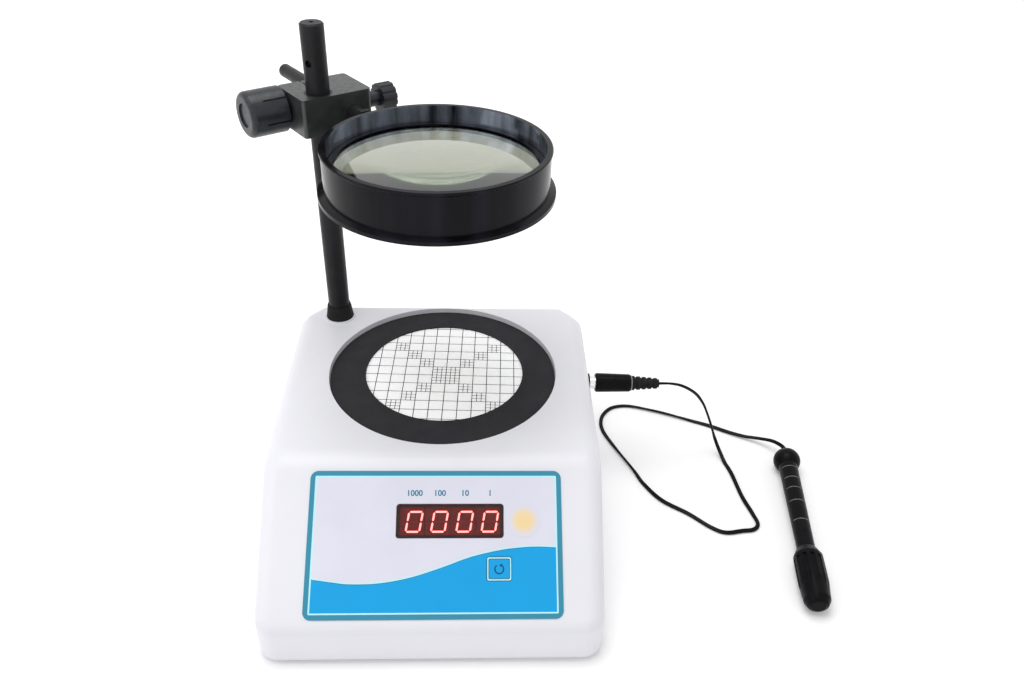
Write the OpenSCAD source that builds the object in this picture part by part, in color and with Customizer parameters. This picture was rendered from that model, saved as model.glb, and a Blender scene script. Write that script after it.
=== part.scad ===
// Digital colony counter: a moulded desk console with a lit counting plate, a
// swinging magnifier on a pole, and a marking pen on a lead.
// Millimetres. +Z is up, -Y is the side the user sits at, and the origin is on
// the bench under the middle of the console.

/* [Console] */
// Width of the console at the back
case_w_rear = 225; // [216:1:240]
// Width of the console at the front
case_w_front = 217; // [212:1:230]
// Height of the flat deck above the bench
deck_z = 97; // [92:1:115]
// Angle of the sloping panel
panel_slope = 38; // [33:1:39]
// Wall of the console moulding
wall = 3; // [2:0.5:3.5]
// Rounding of the side, crest and nose edges
edge_r = 12; // [10:1:14]
// Rounding of the crest between deck and panel
crest_r = 26; // [20:1:30]
// Rounding of the back edge of the deck
rear_edge_r = 5; // [4:0.5:6]
// Plan radius of the back corners
rear_corner_r = 20; // [16:1:24]
// Plan radius of the front corners
front_corner_r = 14; // [13:1:20]
// Height of the rubber feet
foot_h = 4; // [3:0.5:8]
// Radius of the rubber feet
foot_r = 9; // [6:0.5:12]
// Thickness of the steel base plate
base_t = 1.5; // [1:0.1:2.5]
// Radius of the screw bosses
boss_r = 4.5; // [4:0.1:6]
// Height of the screw bosses
boss_h = 26; // [16:1:30]

/* [Counting plate] */
// Centre of the well, from the middle of the console
well_x = 3; // [-4:0.5:6]
// Radius of the round well
well_r = 82.4; // [76:0.2:88]
// Deck between the back face and the well
well_rear_margin = 3.6; // [3.6:0.2:12]
// Deck between the well and the crest
well_front_margin = 12.2; // [10:0.2:24]
// Depth of the well below the deck
well_depth = 7; // [6:0.5:8]
// Width of the ledge that carries the plate
ledge_w = 8.4; // [6:0.2:12]
// Thickness of the ledge
ledge_t = 3; // [2:0.5:4]
// Thickness of the opal counting plate
plate_t = 2; // [1.5:0.5:3]
// Thickness of the black masking ring
mat_t = 1.2; // [0.8:0.1:2]
// Radius of the opening in the masking ring
mat_open_r = 57.5; // [45:0.5:62]
// Shift of that opening towards the back
mat_open_shift = 3.6; // [0:0.2:5]
// Depth of the lamp bowl below the ledge
bowl_h = 50; // [30:1:54]
// Radius of the floor of the lamp bowl
bowl_floor_r = 52; // [35:1:56]
// Thickness of the lamp bowl
bowl_t = 1.5; // [1:0.1:2.5]

/* [Panel] */
// Middle of the panel sheet, to the right of the middle of the console
panel_x = 2; // [-2:0.5:3]
// Width of the panel sheet
panel_w = 159; // [150:0.5:160]
// Length of the panel sheet down the slope
panel_l = 90.5; // [84:0.5:92]
// Gap from the crest line to the panel sheet
panel_gap = 9; // [9:0.1:12]
// Slope below the panel sheet, to the front face
nose_margin = 6.3; // [6.2:0.1:14]
// Thickness of the panel sheet
panel_t = 0.5; // [0.3:0.1:1]
// Corner radius of the panel sheet
panel_corner_r = 5; // [2:0.5:8]
// Display window, width
window_w = 67.5; // [62:0.5:72]
// Display window, height
window_h = 21.3; // [18:0.1:24]
// Display window, middle from the right end of the panel sheet
window_in = 70.5; // [66:0.1:78]
// Display window, centre up the panel
window_y = 13.8; // [8:0.1:18]
// Number of digits
digit_count = 4; // [3:1:4]
// Spacing of the digits
digit_pitch = 15.9; // [13:0.1:16.2]
// Height of the digit modules
digit_h = 17; // [14:0.1:17.5]
// Depth of the digit modules
digit_t = 8; // [6:0.5:9]
// Reset key, width
key_w = 15; // [12:0.5:17]
// Reset key, height
key_h = 14; // [12:0.5:16]
// Reset key, middle from the right end of the panel sheet
key_in = 39.6; // [30:0.1:48]
// Reset key, centre up the panel
key_y = -15.5; // [-20:0.1:-12]
// Travel of the reset key
key_travel = 0.6; // [0.3:0.1:0.8]
// Indicator lamp, radius
lamp_r = 6; // [4:0.5:7]
// Indicator lamp, centre from the right end of the panel sheet
lamp_in = 24; // [20:0.1:26]

/* [Pole and arm] */
// Middle of the pole from the left end of the back face
pole_in = 31.5; // [28.5:0.5:34]
// Middle of the pole from the back face
pole_back = 16; // [15:0.5:24]
// Radius of the pole
pole_r = 8; // [6:0.5:8.5]
// Height of the pole top above the bench
pole_top = 323; // [320:1:380]
// Height of the collar round the foot of the pole
collar_h = 11; // [8:1:16]
// Swing of the arm about the pole
arm_yaw = 35.5; // [30:0.5:50]
// Height of the underside of the clamp block
block_z = 251; // [220:1:270]
// Clamp block, long side
block_l = 51.5; // [48:0.5:56]
// Clamp block, short side
block_w = 39; // [38:1:46]
// Clamp block, height
block_h = 26; // [25:1:34]
// Wall of the liner round the pole
liner_t = 1.5; // [1:0.1:1.8]
// Sideways offset of the rod from the pole
rod_off = 19; // [18:0.5:20]
// Radius of the rod
rod_r = 5; // [4:0.25:5]
// Height of the rod above the underside of the block
rod_up = 12.5; // [10:0.5:15]
// Bare rod between the clamp block and the lens drum
arm_gap = 21.4; // [10:0.1:36]
// Sideways offset of the middle of the lens from the rod
lens_side = 8.6; // [0:0.2:10]
// Length of the rod behind the pole
rod_tail = 96; // [94:1:120]
// Radius of the big knob
big_knob_r = 15.5; // [12:0.5:16]
// Length of the big knob
big_knob_l = 27; // [20:1:34]
// Radius of the small knob
small_knob_r = 10; // [8:0.5:12]
// Length of the small knob
small_knob_l = 11; // [8:1:14]
// Radius of both clamp screws
clamp_screw_r = 3; // [2:0.25:4]

/* [Magnifier] */
// Outer radius of the lens drum
drum_r = 71.6; // [66:0.2:75]
// Height of the lens drum
drum_h = 31; // [26:0.5:34]
// Wall of the lens drum
drum_t = 3; // [2:0.5:4]
// Height of the drum above the rod axis
drum_up = 6; // [5.5:0.5:8]
// How far the bottom flange stands out
flange_out = 4; // [1:0.5:4]
// Depth of the lens below the rim
lens_down = 14; // [12:0.5:16]
// Thickness of the lens at its edge
lens_edge = 3; // [2:0.5:4]
// Bulge of each face of the lens
lens_bulge = 6; // [4:0.2:8]
// Width of the ledge under the lens
lens_seat = 4.4; // [3:0.2:6]

/* [Marking pen and lead] */
// Length of the pen with its cap
pen_l = 153.5; // [145:0.5:165]
// Radius of the barrel behind the grip
pen_r = 7.2; // [6.5:0.1:7.6]
// Radius of the barrel at the cap
pen_front_r = 6.3; // [6:0.1:6.5]
// Radius of the round head
pen_head_r = 10.4; // [10.2:0.1:11]
// Length of the cap
pen_cap_l = 48; // [44:1:54]
// Largest radius of the cap
pen_cap_r = 10.2; // [9:0.1:10.4]
// Travel of the pen tip
tip_travel = 1.2; // [0.5:0.1:1.5]
// Diameter of the lead
cord_d = 3.2; // [2.4:0.1:3.4]
// Radius of the plug body
plug_r = 7.4; // [6:0.1:8]
// Length of the plug body
plug_l = 28; // [24:1:30]
// Length of the ribbed relief behind the plug
relief_l = 22; // [20:1:24]
// Radius of the plug pin
pin_r = 3.175; // [3:0.005:3.3]
// Middle of the jack below the deck
jack_down = 27; // [25:1:36]
// Middle of the jack from the back face
jack_back = 66; // [60:1:72]

/* [Hidden] */

$fn = 64;
hull_fn = 32;
// sliding fit, touching-free gap and cutting overshoot
fit = 0.05;
gap = 0.3;
over = 1;

deck_len = well_rear_margin + 2 * well_r + well_front_margin;
case_d = deck_len + (panel_gap + panel_l + nose_margin) * cos(panel_slope);
rear_y = case_d / 2;
front_y = -case_d / 2;
crest_y = rear_y - deck_len;
well_y = rear_y - well_rear_margin - well_r;
// step from the front corner's centre to the rear one's, and the lean of the wall past both
side_dx = case_w_rear / 2 - rear_corner_r - case_w_front / 2 + front_corner_r;
side_dy = case_d - front_corner_r - rear_corner_r;
side_taper = acos((front_corner_r - rear_corner_r) / norm([side_dx, side_dy]))
  - atan2(side_dy, side_dx);
// height of the sloping plane at the front face, before rounding
nose_z = deck_z - (crest_y - front_y) * tan(panel_slope);
slope_drop = tan((90 - panel_slope) / 2);

ledge_z = deck_z - well_depth;
plate_z = ledge_z;
mat_z = plate_z + plate_t;
mouth_r = well_r - ledge_w;

// ends of the clamp block from the pole, and the pinch screw and small knob behind the pole
block_x0 = -17;
block_y0 = -11;
pinch_y = 19;
small_knob_y = 4;
rod_z = block_z + rod_up;
drum_top = rod_z + drum_up;
drum_z = drum_top - drum_h;
// distance from the middle of the lens, along the rod, to where the rod's line crosses radius r
function along_rod(r) = sqrt(r * r - lens_side * lens_side);
reach = arm_gap - block_y0 + along_rod(drum_r);
liner_r = pole_r + fit + liner_t;
rod_liner_r = rod_r + fit + 1;
pole_x = pole_in - case_w_rear / 2;
pole_y = rear_y - pole_back;
window_x = panel_w / 2 - window_in;
key_x = panel_w / 2 - key_in;
lamp_x = panel_w / 2 - lamp_in;
jack_y = rear_y - jack_back;
jack_z = deck_z - jack_down;

pen_z = pen_head_r;
// tail of the pen, out from the jack's wall and forward of the jack
pen_out = 166.2;
pen_forward = 14;
pen_x = wall_x(jack_y) + pen_out;
pen_y = jack_y - pen_forward;
pen_heading = -98.4;
cap_s = pen_l - pen_cap_l;

// ---------------------------------------------------------------- helpers

// outer face of the straight side wall at y
function wall_x(y) = case_w_front / 2 - front_corner_r + front_corner_r / cos(side_taper)
  + (y - front_y - front_corner_r) * tan(side_taper);

// height of the sloping panel plane over y
function slope_z(y) = deck_z - (crest_y - y) * tan(panel_slope);

// points of an arc about centre c
function arc(c, r, a0, a1, n = 8) =
  [for (i = [0:n]) c + r * [cos(a0 + (a1 - a0) * i / n), sin(a0 + (a1 - a0) * i / n)]];

// side view of the console as (y, z), drawn in by d
function side_outline(d, bottom) = concat(
  [[rear_y - d, bottom]],
  arc([rear_y - rear_edge_r, deck_z - rear_edge_r], max(rear_edge_r - d, 0.5), 0, 90, 4),
  arc([crest_y + crest_r * tan(panel_slope / 2), deck_z - crest_r], crest_r - d,
    90, 90 + panel_slope),
  arc([front_y + edge_r, nose_z - edge_r * slope_drop], edge_r - d, 90 + panel_slope, 180, 6),
  [[front_y + d, bottom]]);

// plan outline drawn in by d
function plan_outline(d) = concat(
  arc([case_w_rear / 2 - rear_corner_r, rear_y - rear_corner_r], rear_corner_r - d, 0, 90),
  arc([rear_corner_r - case_w_rear / 2, rear_y - rear_corner_r], rear_corner_r - d, 90, 180),
  arc([front_corner_r - case_w_front / 2, front_y + front_corner_r],
    front_corner_r - d, 180, 270),
  arc([case_w_front / 2 - front_corner_r, front_y + front_corner_r],
    front_corner_r - d, 270, 360));

module tube(h, ro, ri) {
  difference() {
    cylinder(h = h, r = ro);
    translate([0, 0, -over]) cylinder(h = h + 2 * over, r = ri);
  }
}

// rectangle centred on the origin with round corners
module round_rect(w, d, r) {
  square([w - 2 * r, d], center = true);
  square([w, d - 2 * r], center = true);
  for (sx = [-1, 1], sy = [-1, 1])
    translate([sx * (w / 2 - r), sy * (d / 2 - r)]) circle(r = r);
}

module round_box(w, d, h, r) {
  linear_extrude(height = h) round_rect(w, d, r);
}

// centre of the panel sheet, X to the right, Y up the slope, Z out of it
module on_panel() {
  mid = panel_gap + panel_l / 2;
  translate([panel_x, crest_y - mid * cos(panel_slope), deck_z - mid * sin(panel_slope)])
    rotate([panel_slope, 0, 0]) children();
}

// foot of the pole, turned with the arm: X along the block, -Y towards the lens
module at_arm() {
  translate([pole_x, pole_y, 0]) rotate([0, 0, arm_yaw]) children();
}

// middle of the lens, at drum height
module at_lens() {
  at_arm() translate([rod_off + lens_side, -reach, drum_z]) children();
}

// outer face of the jack's wall, Z out of the wall
module at_jack() {
  translate([wall_x(jack_y), jack_y, jack_z]) rotate([0, 0, -side_taper])
    rotate([0, 90, 0]) children();
}

// tail of the pen, Z running towards the cap
module at_pen() {
  translate([pen_x, pen_y, pen_z]) rotate([0, 0, pen_heading]) rotate([0, 90, 0]) children();
}

// point on the back wall, Z out of the wall, Y up
module at_rear(x) {
  translate([x, rear_y, rear_port_z]) rotate([90, 0, 180]) children();
}
rear_port_z = 38;
inlet_x = 28;
switch_x = -8;
fuse_x = -36;

// ---------------------------------------------------------------- console

// body of the console drawn in by d, down to the given bottom
module console_form(d, bottom) {
  hull() {
    // middle, with the true side view
    rotate([90, 0, 90])
      translate([0, 0, front_corner_r - case_w_front / 2])
        linear_extrude(height = case_w_front - 2 * front_corner_r)
          polygon(side_outline(d, bottom));
    for (s = [-1, 1]) {
      // balls along the crest
      for (a = [90, 90 + panel_slope / 2, 90 + panel_slope]) {
        y = crest_y + crest_r * tan(panel_slope / 2) + (crest_r - edge_r) * cos(a);
        z = deck_z - crest_r + (crest_r - edge_r) * sin(a);
        translate([s * (wall_x(y) - edge_r), y, z]) sphere(r = edge_r - d, $fn = hull_fn);
      }
      // balls round the front corner
      for (b = [0, 30, 60, 90]) {
        y = front_y + front_corner_r - (front_corner_r - edge_r) * cos(b);
        x = case_w_front / 2 - front_corner_r + (front_corner_r - edge_r) * sin(b);
        translate([s * x, y, slope_z(y) - edge_r / cos(panel_slope)])
          sphere(r = edge_r - d, $fn = hull_fn);
      }
      // upright corners
      translate([s * (case_w_front / 2 - front_corner_r), front_y + front_corner_r, bottom])
        cylinder(h = nose_z - edge_r * slope_drop - bottom, r = front_corner_r - d);
      for (a = [0, 30, 60, 90])
        translate([s * (case_w_rear / 2 - rear_corner_r), rear_y - rear_corner_r, bottom])
          cylinder(h = deck_z - edge_r + (edge_r - d) * sin(a) - bottom,
            r = rear_corner_r - edge_r + (edge_r - d) * cos(a));
    }
  }
}

boss_spots = [[-1, 1], [1, 1], [-1, -1], [1, -1]];
// middle of a screw boss, beside the side wall
function boss_at(s) = let (y = s[1] > 0 ? rear_y - 62 : front_y + 46)
  [s[0] * (wall_x(y) - wall - boss_r + 0.8), y];

key_hole = 0.4;

module housing() {
  color([0.9, 0.9, 0.93]) difference() {
    union() {
      difference() {
        console_form(0, foot_h);
        console_form(wall, foot_h - over);
      }
      // wall and ledge of the well
      translate([well_x, well_y, ledge_z - ledge_t])
        cylinder(h = well_depth + ledge_t - wall / 2, r = well_r + wall - 0.5, $fn = 96);
      // raised rim round the pole
      translate([pole_x, pole_y, deck_z - wall]) cylinder(h = wall + rim_h, r = rim_r);
      for (s = boss_spots)
        translate([boss_at(s)[0], boss_at(s)[1], foot_h + base_t]) cylinder(h = boss_h, r = boss_r);
    }
    translate([well_x, well_y, ledge_z]) cylinder(h = well_depth + over, r = well_r, $fn = 96);
    translate([well_x, well_y, ledge_z - ledge_t - over])
      cylinder(h = ledge_t + 2 * over, r = mouth_r, $fn = 96);
    translate([pole_x, pole_y, deck_z - wall - over])
      cylinder(h = wall + rim_h + 2 * over, r = pole_r + 0.6);
    for (s = boss_spots)
      translate([boss_at(s)[0], boss_at(s)[1], foot_h])
        cylinder(h = boss_h - 4, r = base_screw_r);
    on_panel() {
      translate([window_x, window_y, -wall - over])
        round_box(window_w, window_h, wall + 2 * over, 2);
      translate([key_x, key_y, -wall - over])
        round_box(key_w + 2 * key_hole, key_h + 2 * key_hole, wall + 2 * over, 1.5);
      translate([lamp_x, window_y, -wall - over]) cylinder(h = wall + 2 * over, r = lamp_r);
    }
    at_jack() translate([0, 0, -wall - over]) cylinder(h = wall + 2 * over, r = jack_thread_r);
    at_rear(inlet_x) translate([0, 0, -wall - over])
      round_box(inlet_w, inlet_h, wall + 2 * over, 3);
    at_rear(switch_x) translate([-switch_w / 2, -switch_h / 2, -wall - over])
      cube([switch_w, switch_h, wall + 2 * over]);
    at_rear(fuse_x) translate([0, 0, -wall - over]) cylinder(h = wall + 2 * over, r = fuse_body_r);
  }
}
rim_h = 1;
rim_r = 12;

plate_edge = 0.4;
base_screw_r = 1.5;
screw_head_t = 1.6;
screw_bite = 10;
// cooling slots under the lamp
vent_l = 40;
vent_w = 3;
vent_pitch = 9;
vents_each_side = 3;

module base_plate() {
  color([0.62, 0.64, 0.67]) difference() {
    translate([0, 0, foot_h]) linear_extrude(height = base_t)
      polygon(plan_outline(wall + plate_edge));
    for (s = boss_spots)
      translate([boss_at(s)[0], boss_at(s)[1], foot_h - over])
        cylinder(h = base_t + 2 * over, r = base_screw_r);
    for (a = socket_angles)
      translate([pole_x, pole_y, foot_h - over]) rotate([0, 0, a])
        translate([socket_screw_pcr, 0, 0]) cylinder(h = base_t + 2 * over, r = socket_screw_r);
    for (i = [-vents_each_side:vents_each_side])
      translate([well_x - vent_l / 2, well_y - bowl_floor_r / 2 + i * vent_pitch, foot_h - over])
        slot(vent_l, vent_w, base_t + 2 * over);
  }
}

// straight slot with round ends along X
module slot(l, w, h) {
  translate([0, -w / 2, 0]) cube([l, w, h]);
  translate([0, 0, 0]) cylinder(h = h, r = w / 2);
  translate([l, 0, 0]) cylinder(h = h, r = w / 2);
}

foot_inset = 26;
foot_rear_inset = 48;
module rubber_feet() {
  color([0.08, 0.08, 0.09])
    for (sx = [-1, 1], y = [rear_y - foot_rear_inset, front_y + foot_inset])
      translate([sx * (wall_x(y) - foot_inset), y, 0]) {
        cylinder(h = 1.5, r1 = foot_r - 1, r2 = foot_r);
        translate([0, 0, 1.5]) cylinder(h = foot_h - 1.5, r = foot_r);
      }
}

module base_screws() {
  color([0.7, 0.71, 0.73])
    for (s = boss_spots)
      translate([boss_at(s)[0], boss_at(s)[1], foot_h]) {
        translate([0, 0, -screw_head_t]) cylinder(h = screw_head_t, r = 2 * base_screw_r);
        cylinder(h = base_t + screw_bite, r = base_screw_r);
      }
}

module grid_plate() {
  color([0.96, 0.97, 0.98]) translate([well_x, well_y, plate_z])
    cylinder(h = plate_t, r = well_r - 1, $fn = 96);
}

module well_mat() {
  color([0.2, 0.2, 0.22]) difference() {
    translate([well_x, well_y, mat_z]) cylinder(h = mat_t, r = well_r - 0.4, $fn = 96);
    translate([well_x + 0.8, well_y + mat_open_shift, mat_z - over])
      cylinder(h = mat_t + 2 * over, r = mat_open_r, $fn = 96);
  }
}

bowl_z = ledge_z - ledge_t - bowl_h;
bowl_flange_r = well_r - 2.4;
bowl_mouth_r = mouth_r;
module lamp_bowl() {
  color([0.93, 0.93, 0.92]) translate([well_x, well_y, bowl_z])
    rotate_extrude($fn = 96) polygon([[0, 0], [bowl_floor_r, 0], [bowl_mouth_r, bowl_h - bowl_t],
      [bowl_flange_r, bowl_h - bowl_t], [bowl_flange_r, bowl_h], [bowl_mouth_r - bowl_t, bowl_h],
      [bowl_floor_r - bowl_t, bowl_t], [0, bowl_t]]);
}

lamp_board_t = 1.6;
led_w = 5;
led_t = 1.6;
// number of chips in each ring, and its radius as a share of the bowl's floor
led_rings = [[6, 0.27], [12, 0.62]];
module lamp_board() {
  color([0.85, 0.87, 0.86]) translate([well_x, well_y, bowl_z + bowl_t])
    cylinder(h = lamp_board_t, r = bowl_floor_r - 6);
}

module lamp_leds() {
  color([1, 0.96, 0.75]) translate([well_x, well_y, bowl_z + bowl_t + lamp_board_t])
    for (ring = led_rings, i = [0:ring[0] - 1])
      rotate([0, 0, i * 360 / ring[0]]) translate([ring[1] * bowl_floor_r, 0, led_t / 2])
        cube([led_w, led_w, led_t], center = true);
}

// ---------------------------------------------------------------- panel

module panel_sheet() {
  color([0.25, 0.57, 0.67]) on_panel() difference() {
    round_box(panel_w, panel_l, panel_t, panel_corner_r);
    translate([window_x, window_y, -over]) round_box(window_w, window_h, panel_t + 2 * over, 2);
    translate([key_x, key_y, -over])
      round_box(key_w + 2 * key_hole, key_h + 2 * key_hole, panel_t + 2 * over, 1.5);
    translate([lamp_x, window_y, -over]) cylinder(h = panel_t + 2 * over, r = lamp_r);
  }
}

window_t = 1.8;
module display_window() {
  color([0.45, 0.12, 0.12]) on_panel() translate([window_x, window_y, panel_t + 0.2 - window_t])
    round_box(window_w, window_h, window_t, 2);
}

board_z = -12;
board_t = 1.6;
board_top = board_z + board_t;
digit_w = digit_pitch - 0.5;
module display_digits() {
  color([0.35, 0.12, 0.12]) on_panel()
    translate([window_x, window_y - digit_h / 2, board_top])
      for (i = [0:digit_count - 1])
        translate([(i - digit_count / 2) * digit_pitch + 0.25, 0, 0])
          cube([digit_w, digit_h, digit_t]);
}

post_r = 3;
board_w = 124;
board_l = 68;
board_x = window_x - 3.4;
post_spots = [for (x = [-board_w / 2 + 5, board_w / 2 - 5], y = [-board_l / 2 + 5, board_l / 2 - 5])
  [board_x + x, y]];

module display_board() {
  color([0.1, 0.4, 0.2]) on_panel() translate([board_x, 0, board_z]) difference() {
    translate([-board_w / 2, -board_l / 2, 0]) cube([board_w, board_l, board_t]);
    for (p = post_spots)
      translate([p[0] - board_x, p[1], -over]) cylinder(h = board_t + 2 * over, r = 1.5);
  }
}

control_x = 40;
control_y = -72;
control_w = 84;
control_l = 58;
control_up = 8;
control_spots = [for (x = [-control_w / 2 + 5, control_w / 2 - 5],
  y = [-control_l / 2 + 5, control_l / 2 - 5]) [control_x + x, control_y + y]];

module board_posts() {
  color([0.8, 0.68, 0.35]) {
    on_panel() for (p = post_spots)
      translate([p[0], p[1], board_top]) cylinder(h = -wall - board_top, r = post_r);
    for (p = control_spots)
      translate([p[0], p[1], foot_h + base_t]) cylinder(h = control_up, r = post_r);
  }
}

switch_top = -4;
module key_switch() {
  color([0.12, 0.12, 0.13]) on_panel() translate([key_x, key_y, board_top]) {
    translate([-6, -6, 0]) cube([12, 12, 4]);
    cylinder(h = switch_top - board_top, r = 3.4);
  }
}

key_proud = 0.8;
module reset_key() {
  color([0.6, 0.85, 0.95]) on_panel() translate([key_x, key_y, 0]) {
    translate([0, 0, -2]) round_box(key_w, key_h, 2 + key_proud, 1.2);
    translate([0, 0, switch_top + key_travel + 0.2])
      cylinder(h = -2 - switch_top - key_travel - 0.2, r = 3);
  }
}

module status_lamp() {
  color([0.98, 0.86, 0.5]) on_panel() translate([lamp_x, window_y, 0]) {
    translate([0, 0, -wall]) cylinder(h = wall + panel_t + 0.2, r = lamp_r);
    translate([0, 0, board_top]) cylinder(h = -wall - board_top, r = 2.5);
  }
}

module control_board() {
  color([0.1, 0.4, 0.2])
    translate([control_x - control_w / 2, control_y - control_l / 2, foot_h + base_t + control_up])
      cube([control_w, control_l, board_t]);
}

chip_z = foot_h + base_t + control_up + board_t;
chips = [[-20, 5, 36, 15, 4], [-28, -18, 20, 8, 4], [12, -16, 10, 10, 12], [28, 14, 14, 20, 9]];
module control_chips() {
  color([0.13, 0.13, 0.14]) for (c = chips)
    translate([control_x + c[0] - c[2] / 2, control_y + c[1] - c[3] / 2, chip_z])
      cube([c[2], c[3], c[4]]);
}

module buzzer() {
  color([0.1, 0.1, 0.11]) translate([control_x + 4, control_y + 18, chip_z]) tube(8, 6, 1);
}

// ---------------------------------------------------------------- mains side

core_x = case_w_rear / 2 - 32.5;
core_y = rear_y - 32;
core_leg = 7;
core_w = 42;
core_d = 36;
core_h = 34;
module transformer_core() {
  color([0.4, 0.4, 0.42]) translate([core_x, core_y, foot_h + base_t]) difference() {
    translate([-core_w / 2, -core_d / 4, 0]) cube([core_w, core_d / 2, core_h]);
    for (s = [-1, 1]) translate([s * core_w / 4 - core_leg / 2, -core_d, core_leg])
      cube([core_leg, 2 * core_d, core_h - 2 * core_leg]);
  }
}

module transformer_coil() {
  color([0.85, 0.6, 0.2]) translate([core_x, core_y, foot_h + base_t + core_leg]) difference() {
    translate([-core_w / 4 - core_leg / 2, -core_d / 2, 0])
      cube([core_w / 2 + core_leg, core_d, core_h - 2 * core_leg]);
    translate([-core_w / 4 + core_leg / 2, -core_d / 4, -over])
      cube([core_w / 2 - core_leg, core_d / 2, core_h]);
  }
}

inlet_w = 27.5;
inlet_h = 20;
inlet_flange_w = 48;
inlet_flange_h = 24;
inlet_pitch = 40;
inlet_screw_r = 1.5;
inlet_depth = 24;
inlet_mouth = 15;
inlet_flange_t = 3;
inlet_wall = 2;
blade_l = 12;
module power_inlet() {
  color([0.09, 0.09, 0.1]) at_rear(inlet_x) {
    difference() {
      union() {
        round_box(inlet_flange_w, inlet_flange_h, inlet_flange_t, 4);
        translate([0, 0, -inlet_depth]) round_box(inlet_w, inlet_h, inlet_depth, 3);
      }
      translate([0, 0, -inlet_mouth])
        round_box(inlet_w - 2 * inlet_wall, inlet_h - 2 * inlet_wall, inlet_mouth + inlet_flange_t + over, 2);
      for (s = [-1, 1]) translate([s * inlet_pitch / 2, 0, -over])
        cylinder(h = inlet_flange_t + 2 * over, r = inlet_screw_r);
    }
    for (p = [[-7, -2], [0, 2], [7, -2]])
      translate([p[0] - 1, p[1] - 2, -inlet_mouth]) cube([2, 4, blade_l]);
  }
}

module inlet_screws() {
  color([0.72, 0.73, 0.75]) at_rear(inlet_x) for (s = [-1, 1])
    translate([s * inlet_pitch / 2, 0, 0]) {
      cylinder(h = inlet_flange_t, r = inlet_screw_r);
      translate([0, 0, inlet_flange_t]) cylinder(h = screw_head_t, r = 1.9 * inlet_screw_r);
    }
}

switch_w = 13;
switch_h = 19;
rocker_w = 9.6;
rocker_h = 15;
rocker_lean = 7;
pivot_r = 1.2;
pivot_l = 1;
rocker_gap = 0.4;
module switch_body() {
  color([0.09, 0.09, 0.1]) at_rear(switch_x) difference() {
    union() {
      round_box(switch_w + 2, switch_h + 2, 2, 1);
      translate([-switch_w / 2, -switch_h / 2, -18]) cube([switch_w, switch_h, 18]);
    }
    translate([-rocker_w / 2 - rocker_gap, -rocker_h / 2 - 2 * rocker_gap, -8])
      cube([rocker_w + 2 * rocker_gap, rocker_h + 4 * rocker_gap, 10 + over]);
    translate([-rocker_w / 2 - rocker_gap - pivot_l - gap, 0, 0]) rotate([0, 90, 0])
      cylinder(h = rocker_w + 2 * (rocker_gap + pivot_l + gap), r = pivot_r + fit);
  }
}

module power_rocker() {
  color([0.75, 0.08, 0.07]) at_rear(switch_x) rotate([-rocker_lean, 0, 0]) rotate([90, 0, 90]) {
    translate([0, 0, -rocker_w / 2]) linear_extrude(height = rocker_w)
      polygon([[-rocker_h / 2, -1.5], [-2, -5], [2, -5], [rocker_h / 2, -1.5], [rocker_h / 2, 2.6],
        [0, 1.6], [-rocker_h / 2, 2.6]]);
    translate([0, 0, -rocker_w / 2 - rocker_gap - pivot_l])
      cylinder(h = rocker_w + 2 * (rocker_gap + pivot_l), r = pivot_r);
  }
}

fuse_body_r = 6.5;
fuse_tube_r = 2.6;
module fuse_holder() {
  color([0.09, 0.09, 0.1]) at_rear(fuse_x) difference() {
    union() {
      cylinder(h = 2.5, r = 8.5);
      translate([0, 0, -32]) cylinder(h = 32, r = fuse_body_r);
    }
    translate([0, 0, -28]) cylinder(h = 28 + 2.5 + over, r = 4.4);
  }
}

module fuse_cap() {
  color([0.09, 0.09, 0.1]) at_rear(fuse_x) difference() {
    union() {
      translate([0, 0, 2.5 + gap]) cylinder(h = 7, r = 6.4);
      translate([0, 0, -3]) cylinder(h = 6, r = 4.2);
    }
    translate([-7, -0.6, 8]) cube([14, 1.2, 3]);
  }
}

module fuse() {
  color([0.8, 0.82, 0.84]) at_rear(fuse_x) translate([0, 0, -28]) {
    cylinder(h = 3, r = 4.4);
    translate([0, 0, 3]) cylinder(h = 20, r = fuse_tube_r);
  }
}

// ---------------------------------------------------------------- jack

jack_thread_r = 5.5;
jack_bore = 0.08;
nut_t = 3.2;
nut_r = 7;
nut_seat = 0.1;
pin_l = 26;
module probe_jack() {
  color([0.1, 0.1, 0.11]) at_jack() difference() {
    union() {
      translate([0, 0, -wall]) cylinder(h = wall + nut_t, r = jack_thread_r);
      translate([-7, -8, -wall - 22]) cube([14, 16, 22]);
    }
    translate([0, 0, nut_t + gap - pin_l - 0.5])
      cylinder(h = pin_l + 0.5 + over, r = pin_r + jack_bore);
  }
}

module jack_nut() {
  color([0.07, 0.07, 0.08]) at_jack() translate([0, 0, nut_seat])
    tube(nut_t - nut_seat - gap, nut_r, jack_thread_r);
}

// ---------------------------------------------------------------- pole

socket_h = 24;
socket_flange_t = 3;
socket_flange_r = 14.5;
socket_screw_pcr = 11.5;
socket_screw_r = 1.5;
socket_angles = [0, 180, 270];
pole_z = foot_h + base_t;
// blind hole near the top of the pole
dimple_down = 25;
dimple_r = 2.4;
dimple_t = 3;
module pole() {
  color([0.12, 0.13, 0.14]) difference() {
    union() {
      translate([pole_x, pole_y, pole_z]) cylinder(h = pole_top - pole_z - 1, r = pole_r);
      translate([pole_x, pole_y, pole_top - 1]) cylinder(h = 1, r1 = pole_r, r2 = pole_r - 1);
    }
    translate([pole_x, pole_y, pole_top - 4]) cylinder(h = 4 + over, r = 1.6);
    translate([pole_x, pole_y, pole_top - dimple_down]) rotate([90, 0, -25])
      translate([0, 0, pole_r - dimple_t]) cylinder(h = dimple_t + over, r = dimple_r);
  }
}

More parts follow.
